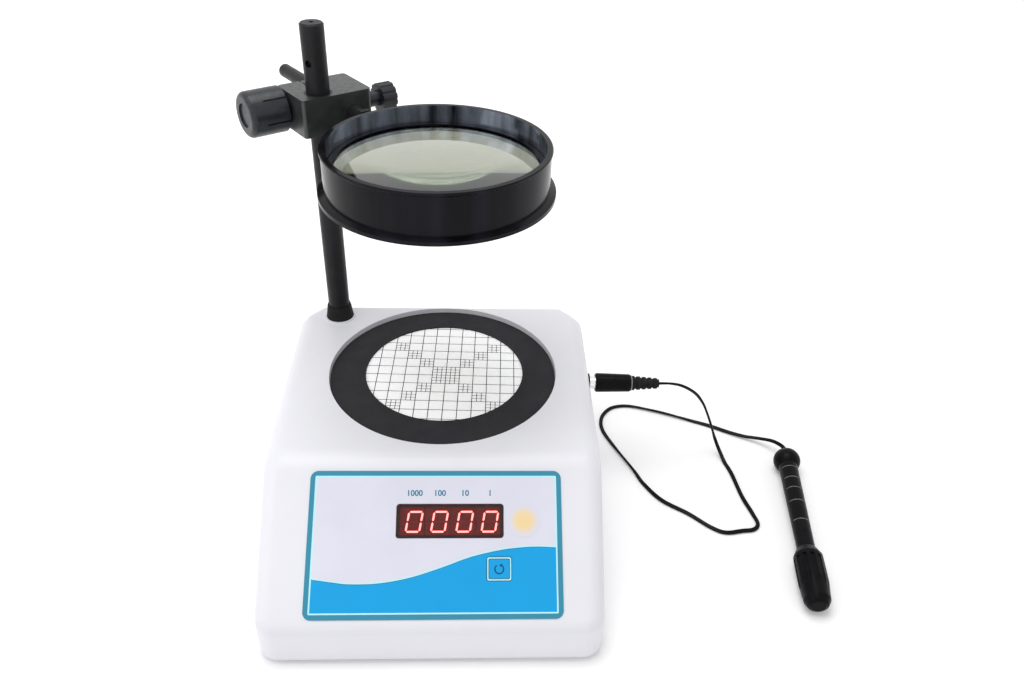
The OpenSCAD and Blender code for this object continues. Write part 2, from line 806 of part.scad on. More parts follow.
module pole_socket() {
  color([0.55, 0.56, 0.58]) translate([pole_x, pole_y, pole_z]) difference() {
    union() {
      cylinder(h = socket_flange_t, r = socket_flange_r);
      cylinder(h = socket_h, r = pole_r + 2);
    }
    translate([0, 0, -over]) cylinder(h = socket_h + 2 * over, r = pole_r);
    // flat beside the back wall
    translate([-socket_flange_r, rear_y - wall - gap - pole_y, -over])
      cube([2 * socket_flange_r, socket_flange_r, socket_h + 2 * over]);
    for (a = socket_angles) rotate([0, 0, a]) translate([socket_screw_pcr, 0, -over])
      cylinder(h = socket_flange_t + 2 * over, r = socket_screw_r);
  }
}

module socket_screws() {
  color([0.7, 0.71, 0.73]) translate([pole_x, pole_y, foot_h]) for (a = socket_angles)
    rotate([0, 0, a]) translate([socket_screw_pcr, 0, 0]) {
      cylinder(h = base_t + socket_flange_t, r = socket_screw_r);
      translate([0, 0, -1.5]) cylinder(h = 1.5, r = 2.6);
    }
}

module pole_collar() {
  color([0.06, 0.06, 0.07]) translate([pole_x, pole_y, deck_z + rim_h])
    rotate_extrude() polygon([[pole_r, 0], [pole_r + 2.6, 0], [pole_r + 2.2, 2],
      [pole_r + 1.3, collar_h - 2], [pole_r + 0.7, collar_h], [pole_r, collar_h]]);
}

// ---------------------------------------------------------------- arm

module pole_liner() {
  color([0.6, 0.5, 0.25]) at_arm() translate([0, 0, block_z])
    tube(block_h, liner_r, pole_r + fit);
}

module arm_block() {
  color([0.12, 0.13, 0.14]) at_arm() difference() {
    translate([block_x0 + block_l / 2, block_y0 + block_w / 2, block_z])
      round_box(block_l, block_w, block_h, 2.5);
    translate([0, 0, block_z - over]) cylinder(h = block_h + 2 * over, r = liner_r + fit);
    translate([rod_off, block_y0 - over, rod_z]) rotate([-90, 0, 0])
      cylinder(h = block_w + 2 * over, r = rod_liner_r + fit);
    // slit that the pinch screw closes round the liner
    translate([-slit_w / 2, 0, block_z - over]) cube([slit_w, block_w, block_h + 2 * over]);
    // clamp screw holes
    translate([block_x0 - over, pinch_y, knob_z]) rotate([0, 90, 0])
      cylinder(h = over - block_x0 + pinch_end + gap, r = clamp_screw_r + fit);
    translate([rod_off, small_knob_y, rod_z]) rotate([0, 90, 0])
      cylinder(h = block_l, r = clamp_screw_r + fit);
  }
}
slit_w = 1.6;
// end of the pinch screw past the slit
pinch_end = 7;
knob_z = block_z + block_h / 2;
block_x1 = block_x0 + block_l;
neck_l = 2;
small_neck_l = 12.5;
// screw held inside each knob
screw_in = 12;
small_screw_in = 4;

// rounding, grooves and end recess of the big knob
knob_edge = 3.5;
groove_w = 1.4;
groove_share = 0.62;
recess_share = 0.52;
module pole_knob() {
  color([0.13, 0.13, 0.14]) at_arm() translate([block_x0 - gap, pinch_y, knob_z])
    rotate([0, -90, 0]) difference() {
      union() {
        cylinder(h = neck_l, r = big_knob_r * 0.62);
        rotate_extrude() polygon(concat([[0, neck_l], [big_knob_r - 0.6, neck_l],
          [big_knob_r, neck_l + 0.6]],
          arc([big_knob_r - knob_edge, neck_l + big_knob_l - knob_edge], knob_edge, 0, 90, 5),
          [[0, neck_l + big_knob_l]]));
      }
      for (i = [0:5]) rotate([0, 0, i * 60 + 15])
        translate([big_knob_r - 1, -groove_w / 2, neck_l - over])
          cube([2, groove_w, big_knob_l * groove_share + over]);
      translate([0, 0, neck_l + big_knob_l - 1.2]) cylinder(h = 2, r = big_knob_r * recess_share);
      translate([0, 0, -over]) cylinder(h = neck_l + screw_in + over, r = clamp_screw_r);
    }
}

module pole_clamp_screw() {
  color([0.6, 0.61, 0.63]) at_arm() translate([pinch_end, pinch_y, knob_z]) rotate([0, -90, 0])
    cylinder(h = pinch_end - block_x0 + gap + neck_l + screw_in, r = clamp_screw_r);
}

module rod_liner() {
  color([0.2, 0.2, 0.21]) at_arm() translate([rod_off, block_y0 - 1, rod_z])
    rotate([-90, 0, 0]) tube(block_w + 2, rod_liner_r, rod_r + fit);
}

module rod_knob() {
  color([0.13, 0.13, 0.14]) at_arm() translate([block_x1 + gap, small_knob_y, rod_z])
    rotate([0, 90, 0]) difference() {
      union() {
        cylinder(h = small_neck_l, r = small_knob_r * 0.55);
        translate([0, 0, small_neck_l]) cylinder(h = small_knob_l, r = small_knob_r);
      }
      for (i = [0:11]) rotate([0, 0, i * 30]) translate([small_knob_r + 0.6, 0, small_neck_l - over])
        cylinder(h = small_knob_l + 2 * over, r = 1.4);
      translate([0, 0, -over])
        cylinder(h = small_neck_l + small_screw_in + over, r = clamp_screw_r);
    }
}

module rod_clamp_screw() {
  color([0.6, 0.61, 0.63]) at_arm()
    translate([rod_off + rod_liner_r + gap, small_knob_y, rod_z]) rotate([0, 90, 0])
      cylinder(h = block_x1 - rod_off - rod_liner_r + small_neck_l + small_screw_in,
        r = clamp_screw_r);
}

// boss on the drum, and how deep the rod's end sits in the wall
boss_out = 2;
rod_bite = drum_t / 2;
rod_start = along_rod(drum_r) - rod_bite;
module arm_rod() {
  color([0.12, 0.13, 0.14]) at_arm() translate([rod_off, rod_start - reach, rod_z])
    rotate([-90, 0, 0]) {
      cylinder(h = reach - rod_start + rod_tail - 1, r = rod_r);
      translate([0, 0, reach - rod_start + rod_tail - 1])
        cylinder(h = 1, r1 = rod_r, r2 = rod_r - 1);
    }
}

module rod_nut() {
  color([0.12, 0.13, 0.14]) at_arm() translate([rod_off, rod_start + rod_bite + boss_out - reach,
    rod_z]) rotate([-90, 0, 0]) difference() {
      cylinder(h = 4, r = rod_r * 1.4, $fn = 6);
      translate([0, 0, -over]) cylinder(h = 4 + 2 * over, r = rod_r);
    }
}

// ---------------------------------------------------------------- magnifier

lens_r = drum_r - drum_t - 0.4;
seat_z = drum_h - lens_down - lens_edge;
seat_t = 2.5;
retainer_t = 2;
module lens_drum() {
  color([0.05, 0.05, 0.06]) difference() {
    union() {
      at_lens() rotate_extrude($fn = 96) polygon([
        [lens_r + 0.4 - lens_seat, seat_z - bulge(lens_r - lens_seat) - 0.1],
        [drum_r - drum_t, seat_z - seat_t], [drum_r - drum_t, 0], [drum_r + flange_out, 0],
        [drum_r + flange_out, 2.5], [drum_r, 4], [drum_r, drum_h - 2.5], [drum_r + 0.8, drum_h - 1.5],
        [drum_r + 0.8, drum_h - 0.6], [drum_r + 0.2, drum_h], [drum_r - drum_t, drum_h],
        [drum_r - drum_t, seat_z]]);
      // boss that takes the rod
      at_arm() translate([rod_off, rod_start - reach, rod_z]) rotate([-90, 0, 0])
        cylinder(h = rod_bite + boss_out, r = drum_up - 0.5);
    }
    at_arm() translate([rod_off, rod_start - reach, rod_z]) rotate([-90, 0, 0])
      cylinder(h = rod_bite + boss_out + over, r = rod_r);
  }
}

lens_steps = 8;
// height of a bulged face over its edge, at radius r
function bulge(r) = let (s = (lens_r * lens_r + lens_bulge * lens_bulge) / (2 * lens_bulge))
  sqrt(s * s - r * r) - (s - lens_bulge);
module lens() {
  color([0.75, 0.82, 0.8, 0.6]) at_lens() translate([0, 0, seat_z])
    rotate_extrude($fn = 96) polygon(concat(
      [for (i = [0:lens_steps]) [lens_r * i / lens_steps, -bulge(lens_r * i / lens_steps)]],
      [for (i = [lens_steps:-1:0]) [lens_r * i / lens_steps,
        lens_edge + bulge(lens_r * i / lens_steps)]]));
}

module lens_retainer() {
  color([0.05, 0.05, 0.06]) at_lens() translate([0, 0, seat_z + lens_edge])
    rotate_extrude($fn = 96) polygon([[lens_r - lens_seat + 1.2, 1], [lens_r, 0],
      [lens_r, retainer_t], [lens_r - lens_seat + 1.2, retainer_t]]);
}

// ---------------------------------------------------------------- pen and lead

sleeve_l = 7.6;
module plug_pin() {
  color([0.8, 0.81, 0.83]) at_jack() {
    translate([0, 0, nut_t + gap]) cylinder(h = sleeve_l - nut_t - gap, r = 4.8);
    translate([0, 0, nut_t + gap - pin_l + 3]) cylinder(h = pin_l - 3, r = pin_r);
    translate([0, 0, nut_t + gap - pin_l]) cylinder(h = 3, r1 = 1.4, r2 = pin_r - 0.4);
  }
}

module probe_plug() {
  color([0.07, 0.07, 0.08]) at_jack() translate([0, 0, sleeve_l]) {
    cylinder(h = 1, r1 = plug_r - 0.8, r2 = plug_r);
    translate([0, 0, 1]) cylinder(h = plug_l - 2.5, r1 = plug_r, r2 = plug_r - 0.6);
    translate([0, 0, plug_l - 1.5]) cylinder(h = 1.5, r1 = plug_r - 0.6, r2 = plug_r - 1.6);
  }
}

rib_count = 5;
relief_r = 5.6;
module plug_relief() {
  color([0.07, 0.07, 0.08]) at_jack() translate([0, 0, sleeve_l + plug_l])
    rotate_extrude() polygon(concat([[0, 0]],
      [for (i = [0:rib_count - 1], e = [[0, 0], [0.55, 0], [0.62, -1], [0.93, -1]])
        [relief_r - 0.35 * i + e[1], (i + e[0]) * relief_l / rib_count]],
      [[0, relief_l * (rib_count - 0.07) / rib_count]]));
}

function jack_point(d) = [wall_x(jack_y) + d * cos(side_taper), jack_y - d * sin(side_taper), jack_z];
function pen_point(d) = [pen_x + d * cos(pen_heading), pen_y + d * sin(pen_heading), pen_z];
cord_r = cord_d / 2;
cord_hole = 4;
cord_rest = 0.1;
lead_out = sleeve_l + plug_l + relief_l;
// fall from the plug: across and back from the jack, and height as a share of the jack's
lead_fall = [[76.5, -1, 0.965], [87.5, -1, 0.865], [95.5, -0.5, 0.715], [101, -0.5, 0.555],
  [106, -0.5, 0.385], [110.5, -1, 0.215], [114.5, -6, 0.09]];
// run on the bench: across and back from the jack, and lift off the bench
lead_run = [[117.5, -16, 0.3], [120, -29, 0], [122, -55, 0], [125.5, -72, 0], [127, -83, 0],
  [122.5, -89, 0], [113.5, -90.5, 0], [100.5, -92, 0], [90.5, -86.5, 0], [76.5, -73, 0],
  [58.5, -59, 0], [47.5, -41, 0], [41.5, -25, 0], [31, -0.5, 0], [23, 22, 0], [23, 36.5, 0],
  [28, 47, 0], [36.5, 54, 0], [50, 55.5, 0], [70, 49, 0], [93, 39.5, 0], [113.5, 30, 0],
  [129.5, 20.5, 0.3], [142.5, 13.5, 1.3], [152.5, 8, 3.8], [160, 1.5, 7.1], [164.5, -4.5, 8.5]];
cord_route = concat([jack_point(lead_out - 0.6), jack_point(lead_out + 9)],
  [for (p = lead_fall) [wall_x(jack_y) + p[0], jack_y + p[1], p[2] * jack_z]],
  [for (p = lead_run) [wall_x(jack_y) + p[0], jack_y + p[1], cord_r + cord_rest + p[2]]],
  [pen_point(-4.5), pen_point(0), pen_point(cord_hole - 1)]);

// smooth curve through the route, after Catmull and Rom
function route_at(i) = cord_route[max(0, min(len(cord_route) - 1, i))];
function curve(i, t) = let (a = route_at(i - 1), b = route_at(i), c = route_at(i + 1),
  d = route_at(i + 2)) 0.5 * ((2 * b) + (c - a) * t + (2 * a - 5 * b + 4 * c - d) * t * t
  + (3 * b - a - 3 * c + d) * t * t * t);
cord_path = concat([for (i = [0:len(cord_route) - 2], t = [0, 0.5]) curve(i, t)],
  [cord_route[len(cord_route) - 1]]);
function unit(v) = v / norm(v);
function heading(i) = unit(cord_path[min(i + 1, len(cord_path) - 1)] - cord_path[max(i - 1, 0)]);
cord_sides = 8;
// ring of points round the path, kept level by the vertical
function cord_ring(i) = let (h = heading(i), side = unit(cross(h, [0, 0, 1])), up = cross(side, h))
  [for (k = [0:cord_sides - 1]) cord_path[i] + cord_r * (cos(k * 360 / cord_sides + 22.5) * side
    + sin(k * 360 / cord_sides + 22.5) * up)];

module probe_cord() {
  last = len(cord_path) - 1;
  n = cord_sides;
  color([0.1, 0.09, 0.09]) polyhedron(
    points = [for (i = [0:last]) each cord_ring(i)],
    faces = concat([[for (k = [n - 1:-1:0]) k]],
      [for (i = [0:last - 1], k = [0:n - 1]) let (m = (k + 1) % n)
        each [[i * n + k, i * n + m, (i + 1) * n + m], [i * n + k, (i + 1) * n + m, (i + 1) * n + k]]],
      [[for (k = [0:n - 1]) last * n + k]]));
}

head_l = 21;
module pen_head() {
  color([0.08, 0.08, 0.09]) at_pen() difference() {
    union() {
      translate([0, 0, pen_head_r]) sphere(r = pen_head_r);
      translate([0, 0, 6]) cylinder(h = head_l - 6, r = pen_r);
    }
    translate([0, 0, -over]) cylinder(h = cord_hole + over, r = cord_r);
  }
}

scallops = [[24, 11.6], [35.6, 11.2], [46.8, 13.5], [60.3, 19.2]];
scallop_r = 13.6;
scallop_deep = 1.2;
bore_r = 4.6;
nose_l = 34;
module pen_barrel() {
  color([0.08, 0.08, 0.09]) at_pen() difference() {
    union() {
      translate([0, 0, head_l]) cylinder(h = cap_s + 8 - head_l, r1 = pen_r, r2 = pen_front_r);
      translate([0, 0, cap_s + 8]) cylinder(h = nose_l - 8, r1 = pen_front_r - 0.5, r2 = 3.2);
    }
    // finger scallops
    for (c = scallops) translate([0, pen_r + scallop_r - scallop_deep, c[0] + c[1] / 2])
      rotate([0, 90, 0]) cylinder(h = 4 * pen_r, r = scallop_r, center = true);
    translate([0, 0, head_l + 4]) cylinder(h = cap_s - head_l, r = bore_r);
    translate([0, 0, cap_s]) cylinder(h = nose_l + over, r = tip_r + fit);
  }
}

tip_r = 1.8;
switch_s = 62;
switch_l = 14;
tip_from = switch_s + switch_l + tip_travel + gap;
tip_out = 4;
tip_point = 3;
module pen_switch() {
  color([0.3, 0.3, 0.32]) at_pen() translate([0, 0, switch_s]) cylinder(h = switch_l, r = bore_r);
}

module pen_tip() {
  color([0.15, 0.15, 0.2]) at_pen() {
    translate([0, 0, tip_from]) cylinder(h = cap_s + nose_l + tip_out - tip_from, r = tip_r);
    translate([0, 0, cap_s + nose_l + tip_out]) cylinder(h = tip_point, r1 = tip_r, r2 = 0.7);
    translate([0, 0, tip_from]) cylinder(h = collar_t, r = bore_r - 0.4);
  }
}

collar_t = 3;
spring_s = tip_from + collar_t;
spring_turns = 6;
module pen_spring() {
  spring_l = cap_s + 4 - spring_s;
  color([0.75, 0.76, 0.78]) at_pen() translate([0, 0, spring_s])
    rotate_extrude() polygon(concat(
      [for (i = [0:2 * spring_turns]) [i % 2 == 0 ? 3.4 : 3.9, i * spring_l / spring_turns / 2]],
      [for (i = [2 * spring_turns:-1:0]) [i % 2 == 0 ? 2.4 : 2.9,
        i * spring_l / spring_turns / 2]]));
}

cap_fit = 0.1;
cap_lip = 6;
cap_end = 6;
flute_count = 12;
flute_from = 9;
flute_short = 14;
module pen_cap() {
  color([0.08, 0.08, 0.09]) at_pen() translate([0, 0, cap_s]) difference() {
    rotate_extrude() polygon([[0, 0], [pen_front_r + 1.2, 0], [pen_cap_r, cap_lip],
      [pen_cap_r, 0.6 * pen_cap_l], [pen_cap_r - 1.2, 0.9 * pen_cap_l],
      [pen_cap_r - 3, 0.97 * pen_cap_l], [pen_cap_r - 5.5, pen_cap_l], [0, pen_cap_l]]);
    translate([0, 0, -over]) cylinder(h = pen_cap_l - cap_end + over, r = pen_front_r + 2 * cap_fit);
    for (i = [0:flute_count - 1]) rotate([0, 0, i * 360 / flute_count])
      translate([pen_cap_r + 0.5, 0, flute_from])
        cylinder(h = pen_cap_l - flute_from - flute_short, r = 1.5);
  }
}

// ---------------------------------------------------------------- nodes

housing();
base_plate();
rubber_feet();
base_screws();
well_mat();
grid_plate();
lamp_bowl();
lamp_board();
lamp_leds();
panel_sheet();
display_window();
display_digits();
display_board();
board_posts();
key_switch();
reset_key();
status_lamp();
control_board();
control_chips();
buzzer();
transformer_core();
transformer_coil();
power_inlet();
inlet_screws();
switch_body();
power_rocker();
fuse_holder();
fuse_cap();
fuse();
probe_jack();
jack_nut();
pole();
pole_socket();
socket_screws();
pole_collar();
pole_liner();
arm_block();
pole_knob();
pole_clamp_screw();
rod_liner();
rod_knob();
rod_clamp_screw();
arm_rod();
rod_nut();
lens_drum();
lens();
lens_retainer();
probe_plug();
plug_pin();
plug_relief();
probe_cord();
pen_head();
pen_barrel();
pen_switch();
pen_spring();
pen_tip();
pen_cap();
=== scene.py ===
# %% [markdown]
# # A colony counter on the bench
# The counter is a moulded white console with a lit counting plate, a magnifier
# on a swinging arm and a marking pen on a lead. Its solids come in as a fixed
# frame. This lesson gives each piece its finish, and adds what only the eye
# needs: the printed panel film, the lit digits, the ruled grid and the lead.

# %% Load the solids
import math
import bpy
from mathutils import Matrix, Vector


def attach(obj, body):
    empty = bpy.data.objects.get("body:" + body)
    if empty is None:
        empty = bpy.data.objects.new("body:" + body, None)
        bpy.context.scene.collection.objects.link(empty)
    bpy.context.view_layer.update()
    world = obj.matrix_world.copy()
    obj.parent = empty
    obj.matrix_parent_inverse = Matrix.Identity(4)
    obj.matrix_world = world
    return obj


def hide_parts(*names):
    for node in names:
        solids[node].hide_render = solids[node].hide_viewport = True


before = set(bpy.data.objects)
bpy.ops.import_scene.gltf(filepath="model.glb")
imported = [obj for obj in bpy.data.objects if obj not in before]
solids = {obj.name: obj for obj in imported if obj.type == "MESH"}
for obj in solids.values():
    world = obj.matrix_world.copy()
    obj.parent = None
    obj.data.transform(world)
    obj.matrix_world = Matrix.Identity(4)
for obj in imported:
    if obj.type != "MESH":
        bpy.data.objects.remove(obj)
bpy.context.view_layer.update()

MM = 0.001  # the frame is in metres; sizes below are in millimetres

# %% [markdown]
# ## The camera
# A camera is placed by a matrix whose columns are its right, up and back
# directions. Aiming it with a constraint would also work, but a matrix keeps
# the slight roll of a camera held by hand, and leaves nothing to be solved.

# %% Place the camera
camera_data = bpy.data.cameras.new("camera")
camera_data.lens, camera_data.sensor_width = 29.99, 36.0  # millimetres
camera = bpy.data.objects.new("camera", camera_data)
bpy.context.scene.collection.objects.link(camera)
camera_right = Vector((0.99899, -0.03249, 0.0312)).normalized()
camera_up = Vector((-0.00688, 0.57456, 0.81843)).normalized()
camera_back = camera_right.cross(camera_up)
camera.matrix_world = Matrix((camera_right, camera_up, camera_back)).transposed().to_4x4()
camera.location = (0.0253, -0.45684, 0.47211)
bpy.context.scene.camera = camera
print("camera looks down by", round(math.degrees(math.asin(camera_back.z))), "degrees")

# %% [markdown]
# ## Helpers for making pieces
# Most added pieces are plain meshes, so one helper turns points and faces into
# an object, gives it a finish and lets it ride on its body. A second helper
# sweeps an outline along a route. Curves with a bevel would do that too, but
# they only give round or flat sections, and they hide which way a face looks.

# %% Helpers: a mesh piece
def make_piece(name, points, faces, finish, body, smooth=True):
    """A mesh object from points in metres, with one finish, that rides on a body."""
    mesh = bpy.data.meshes.new(name)
    mesh.from_pydata([tuple(p) for p in points], [], faces)
    mesh.validate()
    mesh.update()
    piece = bpy.data.objects.new(name, mesh)
    bpy.context.scene.collection.objects.link(piece)
    mesh.materials.append(finish)
    for face in mesh.polygons:
        face.use_smooth = smooth
    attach(piece, body)
    return piece


def sweep(name, rings, finish, body, loop=False):
    """A tube through rings of points, with an end on each side or closed to a loop."""
    count = len(rings[0])
    points = [p for ring in rings for p in ring]
    following = [(i + 1) % len(rings) for i in range(len(rings))]
    faces = [(i * count + k, following[i] * count + k,
              following[i] * count + (k + 1) % count, i * count + (k + 1) % count)
             for i in range(len(rings) - (0 if loop else 1)) for k in range(count)]
    if not loop:
        faces.append(tuple(range(count)))
        faces.append(tuple((len(rings) - 1) * count + k for k in range(count))[::-1])
    return make_piece(name, points, faces, finish, body)


# %% [markdown]
# ## Finishes
# Moulded plastic is never one flat colour: it has a fine grain, faint patches
# and small changes of gloss. A noise texture in the object's own space gives
# all three. A picture texture could too, but it would need unwrapping. Every
# finish below is the same few nodes with other numbers, so one function makes
# them all.

# %% Helpers: a moulded or coated finish
PATCH_LOW, PATCH_HIGH = 0.32, 0.68  # the span of noise that the colours share out
SMEAR_SHARE = 0.4  # smears of gloss are smaller than patches of colour


def noise_into(tree, place, size_mm, detail=2.0, stretch=None):
    """A noise texture whose features are about size_mm across."""
    noise = tree.nodes.new("ShaderNodeTexNoise")
    noise.inputs["Scale"].default_value = 1.0 / (size_mm * MM)
    noise.inputs["Detail"].default_value = detail
    source = place.outputs["Object"]
    if stretch:
        mapping = tree.nodes.new("ShaderNodeMapping")
        mapping.inputs["Scale"].default_value = stretch
        tree.links.new(source, mapping.inputs["Vector"])
        source = mapping.outputs["Vector"]
    tree.links.new(source, noise.inputs["Vector"])
    return noise.outputs["Fac"]


def spread_into(tree, factor, low, high, target, start=0.3, end=0.7):
    """Sends a factor to a socket as a number between low and high.

    Noise seldom leaves 0.3 to 0.7, so that is the span that is spread out.
    """
    span = tree.nodes.new("ShaderNodeMapRange")
    span.inputs["From Min"].default_value = start
    span.inputs["From Max"].default_value = end
    span.inputs["To Min"].default_value = low
    span.inputs["To Max"].default_value = high
    tree.links.new(factor, span.inputs["Value"])
    tree.links.new(span.outputs["Result"], target)


def tint(colour, amount):
    """The colour made lighter or darker, with full alpha, for a colour ramp."""
    return [min(1.0, c * amount) for c in colour[:3]] + [1.0]


def finish_of(name, colour, gloss=0.4, gloss_spread=0.06, grain_mm=0.5, grain_depth=0.006,
              patch_mm=25, patch=0.04, metallic=0.0, specular=0.5, stretch=None,
              patch_stretch=None):
    """A finish whose colour and gloss vary in patches, with a fine grain in relief."""
    material = bpy.data.materials.new(name)
    material.use_nodes = True
    tree = material.node_tree
    shader = tree.nodes["Principled BSDF"]
    shader.inputs["Metallic"].default_value = metallic
    shader.inputs["Specular IOR Level"].default_value = specular
    place = tree.nodes.new("ShaderNodeTexCoord")
    patches = noise_into(tree, place, patch_mm, 3.0, patch_stretch)
    shades = tree.nodes.new("ShaderNodeValToRGB")
    shades.color_ramp.elements[0].position = PATCH_LOW
    shades.color_ramp.elements[1].position = PATCH_HIGH
    shades.color_ramp.elements[0].color = tint(colour, 1 - patch)
    shades.color_ramp.elements[1].color = tint(colour, 1 + patch)
    tree.links.new(patches, shades.inputs["Fac"])
    tree.links.new(shades.outputs["Color"], shader.inputs["Base Color"])
    smears = noise_into(tree, place, patch_mm * SMEAR_SHARE, 4.0, stretch)
    spread_into(tree, smears, gloss - gloss_spread, gloss + gloss_spread,
                shader.inputs["Roughness"])
    if not grain_depth:
        return material
    grain = noise_into(tree, place, grain_mm, 2.0, stretch)
    bump = tree.nodes.new("ShaderNodeBump")
    bump.inputs["Strength"].default_value = 1.0
    bump.inputs["Distance"].default_value = grain_depth * MM
    tree.links.new(grain, bump.inputs["Height"])
    tree.links.new(bump.outputs["Normal"], shader.inputs["Normal"])
    return material


# %% [markdown]
# ## The finishes of the counter
# Each real surface gets its own mix. The shell is a satin white plastic with a
# hint of blue. The blacks differ in gloss: a painted pole, a cast block, an
# enamelled drum, a polished pen and soft rubber. Metals keep metallic at one,
# and turned parts stretch the noise along their tool marks. The counting plate
# is lit from below, and a faint glow of its own stands for that lamp.

# %% Mix the finishes
# The numbers after a colour: gloss and how much it varies, the grain's size and
# depth in mm, the patches' size in mm and how much their colour varies.
white_shell = finish_of("white_shell", (0.83, 0.83, 0.88), 0.36, 0.05, 0.7, 0.004, 60, 0.012,
                        specular=0.4)
black_satin = finish_of("black_satin", (0.010, 0.010, 0.012), 0.42, 0.08, 0.35, 0.006, 14, 0.25,
                        specular=0.2)
black_block = finish_of("black_block", (0.024, 0.028, 0.027), 0.36, 0.08, 0.6, 0.012, 9, 0.3,
                        specular=0.6)
# glossy black whose colour varies in upright streaks: painted reflections
black_gloss_painted_reflection = finish_of("black_gloss_painted_reflection", (0.005, 0.005, 0.008), 0.16, 0.05, 3.0, 0.004, 16, 0.8,
                        specular=0.12, patch_stretch=(1, 1, 0.1))
# inner wall of the drum: bluish metallic colour in upright patches, painted reflections
drum_inside_painted_reflection = finish_of("drum_inside_painted_reflection", (0.2, 0.225, 0.28), 0.12, 0.04, 3.0, 0.003, 12, 0.95,
                        metallic=0.85, patch_stretch=(1, 1, 0.12))
black_knob = finish_of("black_knob", (0.017, 0.019, 0.024), 0.34, 0.07, 0.5, 0.008, 8, 0.2,
                       specular=0.35)
black_pen = finish_of("black_pen", (0.004, 0.004, 0.005), 0.32, 0.08, 0.6, 0.006, 10, 0.25,
                      specular=0.07)
black_rubber = finish_of("black_rubber", (0.012, 0.012, 0.012), 0.7, 0.08, 0.4, 0.01, 6, 0.2,
                         specular=0.15)
ring_mat = finish_of("ring_mat", (0.030, 0.029, 0.033), 0.75, 0.06, 0.3, 0.012, 20, 0.1,
                     specular=0.15)
opal_white = finish_of("opal_white", (0.9, 0.9, 0.92), 0.3, 0.04, 2.0, 0.002, 30, 0.01)
PLATE_GLOW = 0.26
plate_shader = opal_white.node_tree.nodes["Principled BSDF"]
plate_shader.inputs["Emission Color"].default_value = (1, 1, 1, 1)
plate_shader.inputs["Emission Strength"].default_value = PLATE_GLOW
plated_steel = finish_of("plated_steel", (0.6, 0.61, 0.63), 0.32, 0.08, 0.6, 0.004, 6, 0.06,
                         metallic=1.0, stretch=(1, 1, 12))
bright_nickel = finish_of("bright_nickel", (0.8, 0.8, 0.82), 0.16, 0.06, 0.5, 0.003, 5, 0.05,
                          metallic=1.0)
turned_brass = finish_of("turned_brass", (0.62, 0.45, 0.18), 0.3, 0.08, 0.4, 0.004, 5, 0.1,
                         metallic=1.0)
red_rocker = finish_of("red_rocker", (0.5, 0.012, 0.01), 0.25, 0.05, 0.5, 0.004, 8, 0.06)
bowl_paint = finish_of("bowl_paint", (0.84, 0.84, 0.82), 0.6, 0.05, 0.6, 0.006, 20, 0.02)
board_green = finish_of("board_green", (0.02, 0.14, 0.05), 0.35, 0.05, 1.2, 0.008, 4, 0.25)
board_white = finish_of("board_white", (0.7, 0.72, 0.7), 0.4, 0.05, 1.0, 0.005, 6, 0.04)
chip_black = finish_of("chip_black", (0.02, 0.02, 0.022), 0.5, 0.06, 0.5, 0.006, 4, 0.15)
core_varnish = finish_of("core_varnish", (0.1, 0.09, 0.09), 0.4, 0.08, 0.5, 0.02, 5, 0.2,
                         metallic=0.6, stretch=(1, 18, 1))
coil_tape = finish_of("coil_tape", (0.7, 0.42, 0.05), 0.3, 0.05, 1.5, 0.02, 6, 0.1,
                      stretch=(1, 1, 5))
print("finishes:", len(bpy.data.materials))

# %% [markdown]
# ## The lead
# The lead is a flat twin: two insulated wires side by side. It leaves the plug,
# falls to the bench, runs round in a loose loop and ends in the pen. A round
# bevel on a curve would lose the groove between the wires, so an outline like a
# figure eight is swept along the same route, turning a little as it lies.

# %% The lead's route
JACK = Vector((111.702, 65.985, 70.0))
JACK_OUT = Vector((0.999849, -0.017393, 0.0))
PEN = Vector((277.902, 51.985, 10.4))
PEN_ALONG = Vector((-0.146083, -0.989272, 0.0))
LEAD_OUT = 57.6  # from the jack's face to the end of the plug's relief
fall = [(76.5, -1, 67.55), (87.5, -1, 60.55), (95.5, -0.5, 50.05), (101, -0.5, 38.85),
        (106, -0.5, 26.95), (110.5, -1, 15.05), (114.5, -6, 6.3)]
run = [(117.5, -16, 2.0), (120, -29, 1.7), (122, -55, 1.7), (125.5, -72, 1.7), (127, -83, 1.7),
       (122.5, -89, 1.7), (113.5, -90.5, 1.7), (100.5, -92, 1.7), (90.5, -86.5, 1.7),
       (76.5, -73, 1.7), (58.5, -59, 1.7), (47.5, -41, 1.7), (41.5, -25, 1.7), (31, -0.5, 1.7),
       (23, 22, 1.7), (23, 36.5, 1.7), (28, 47, 1.7), (36.5, 54, 1.7), (50, 55.5, 1.7),
       (70, 49, 1.7), (93, 39.5, 1.7), (113.5, 30, 1.7), (129.5, 20.5, 2.0), (142.5, 13.5, 3.0),
       (152.5, 8, 5.5), (160, 1.5, 8.8), (164.5, -4.5, 10.2)]
# it starts just inside the relief, and ends inside the pen's head
route = [JACK + JACK_OUT * (LEAD_OUT - 0.6), JACK + JACK_OUT * (LEAD_OUT + 9)]
route += [Vector((JACK.x + x, JACK.y + y, z)) for x, y, z in fall + run]
route += [PEN + PEN_ALONG * d for d in (-4.5, 0.0, 3.0)]


def smooth_route(points, steps):
    """A curve through every point, after Catmull and Rom."""
    line = []
    last = len(points) - 1
    for i in range(last):
        a, b, c, d = (points[max(0, min(last, i + k))] for k in (-1, 0, 1, 2))
        for s in range(steps):
            t = s / steps
            line.append(0.5 * (2 * b + (c - a) * t + (2 * a - 5 * b + 4 * c - d) * t * t
                               + (3 * b - a - 3 * c + d) * t ** 3))
    return line + [points[-1]]


lead_line = smooth_route(route, 12)
lead_length = sum((b - a).length for a, b in zip(lead_line, lead_line[1:]))
print("lead:", len(route), "points,", round(lead_length), "mm")

# %% [markdown]
# ## The twin wires
# The route was made for a round tube, and the flat twin is thinner. So where the
# route is near the bench, each ring of the outline is lowered until the wires
# touch the top of the bench. The slow roll along the way is what a twin lead
# does when it is dropped.

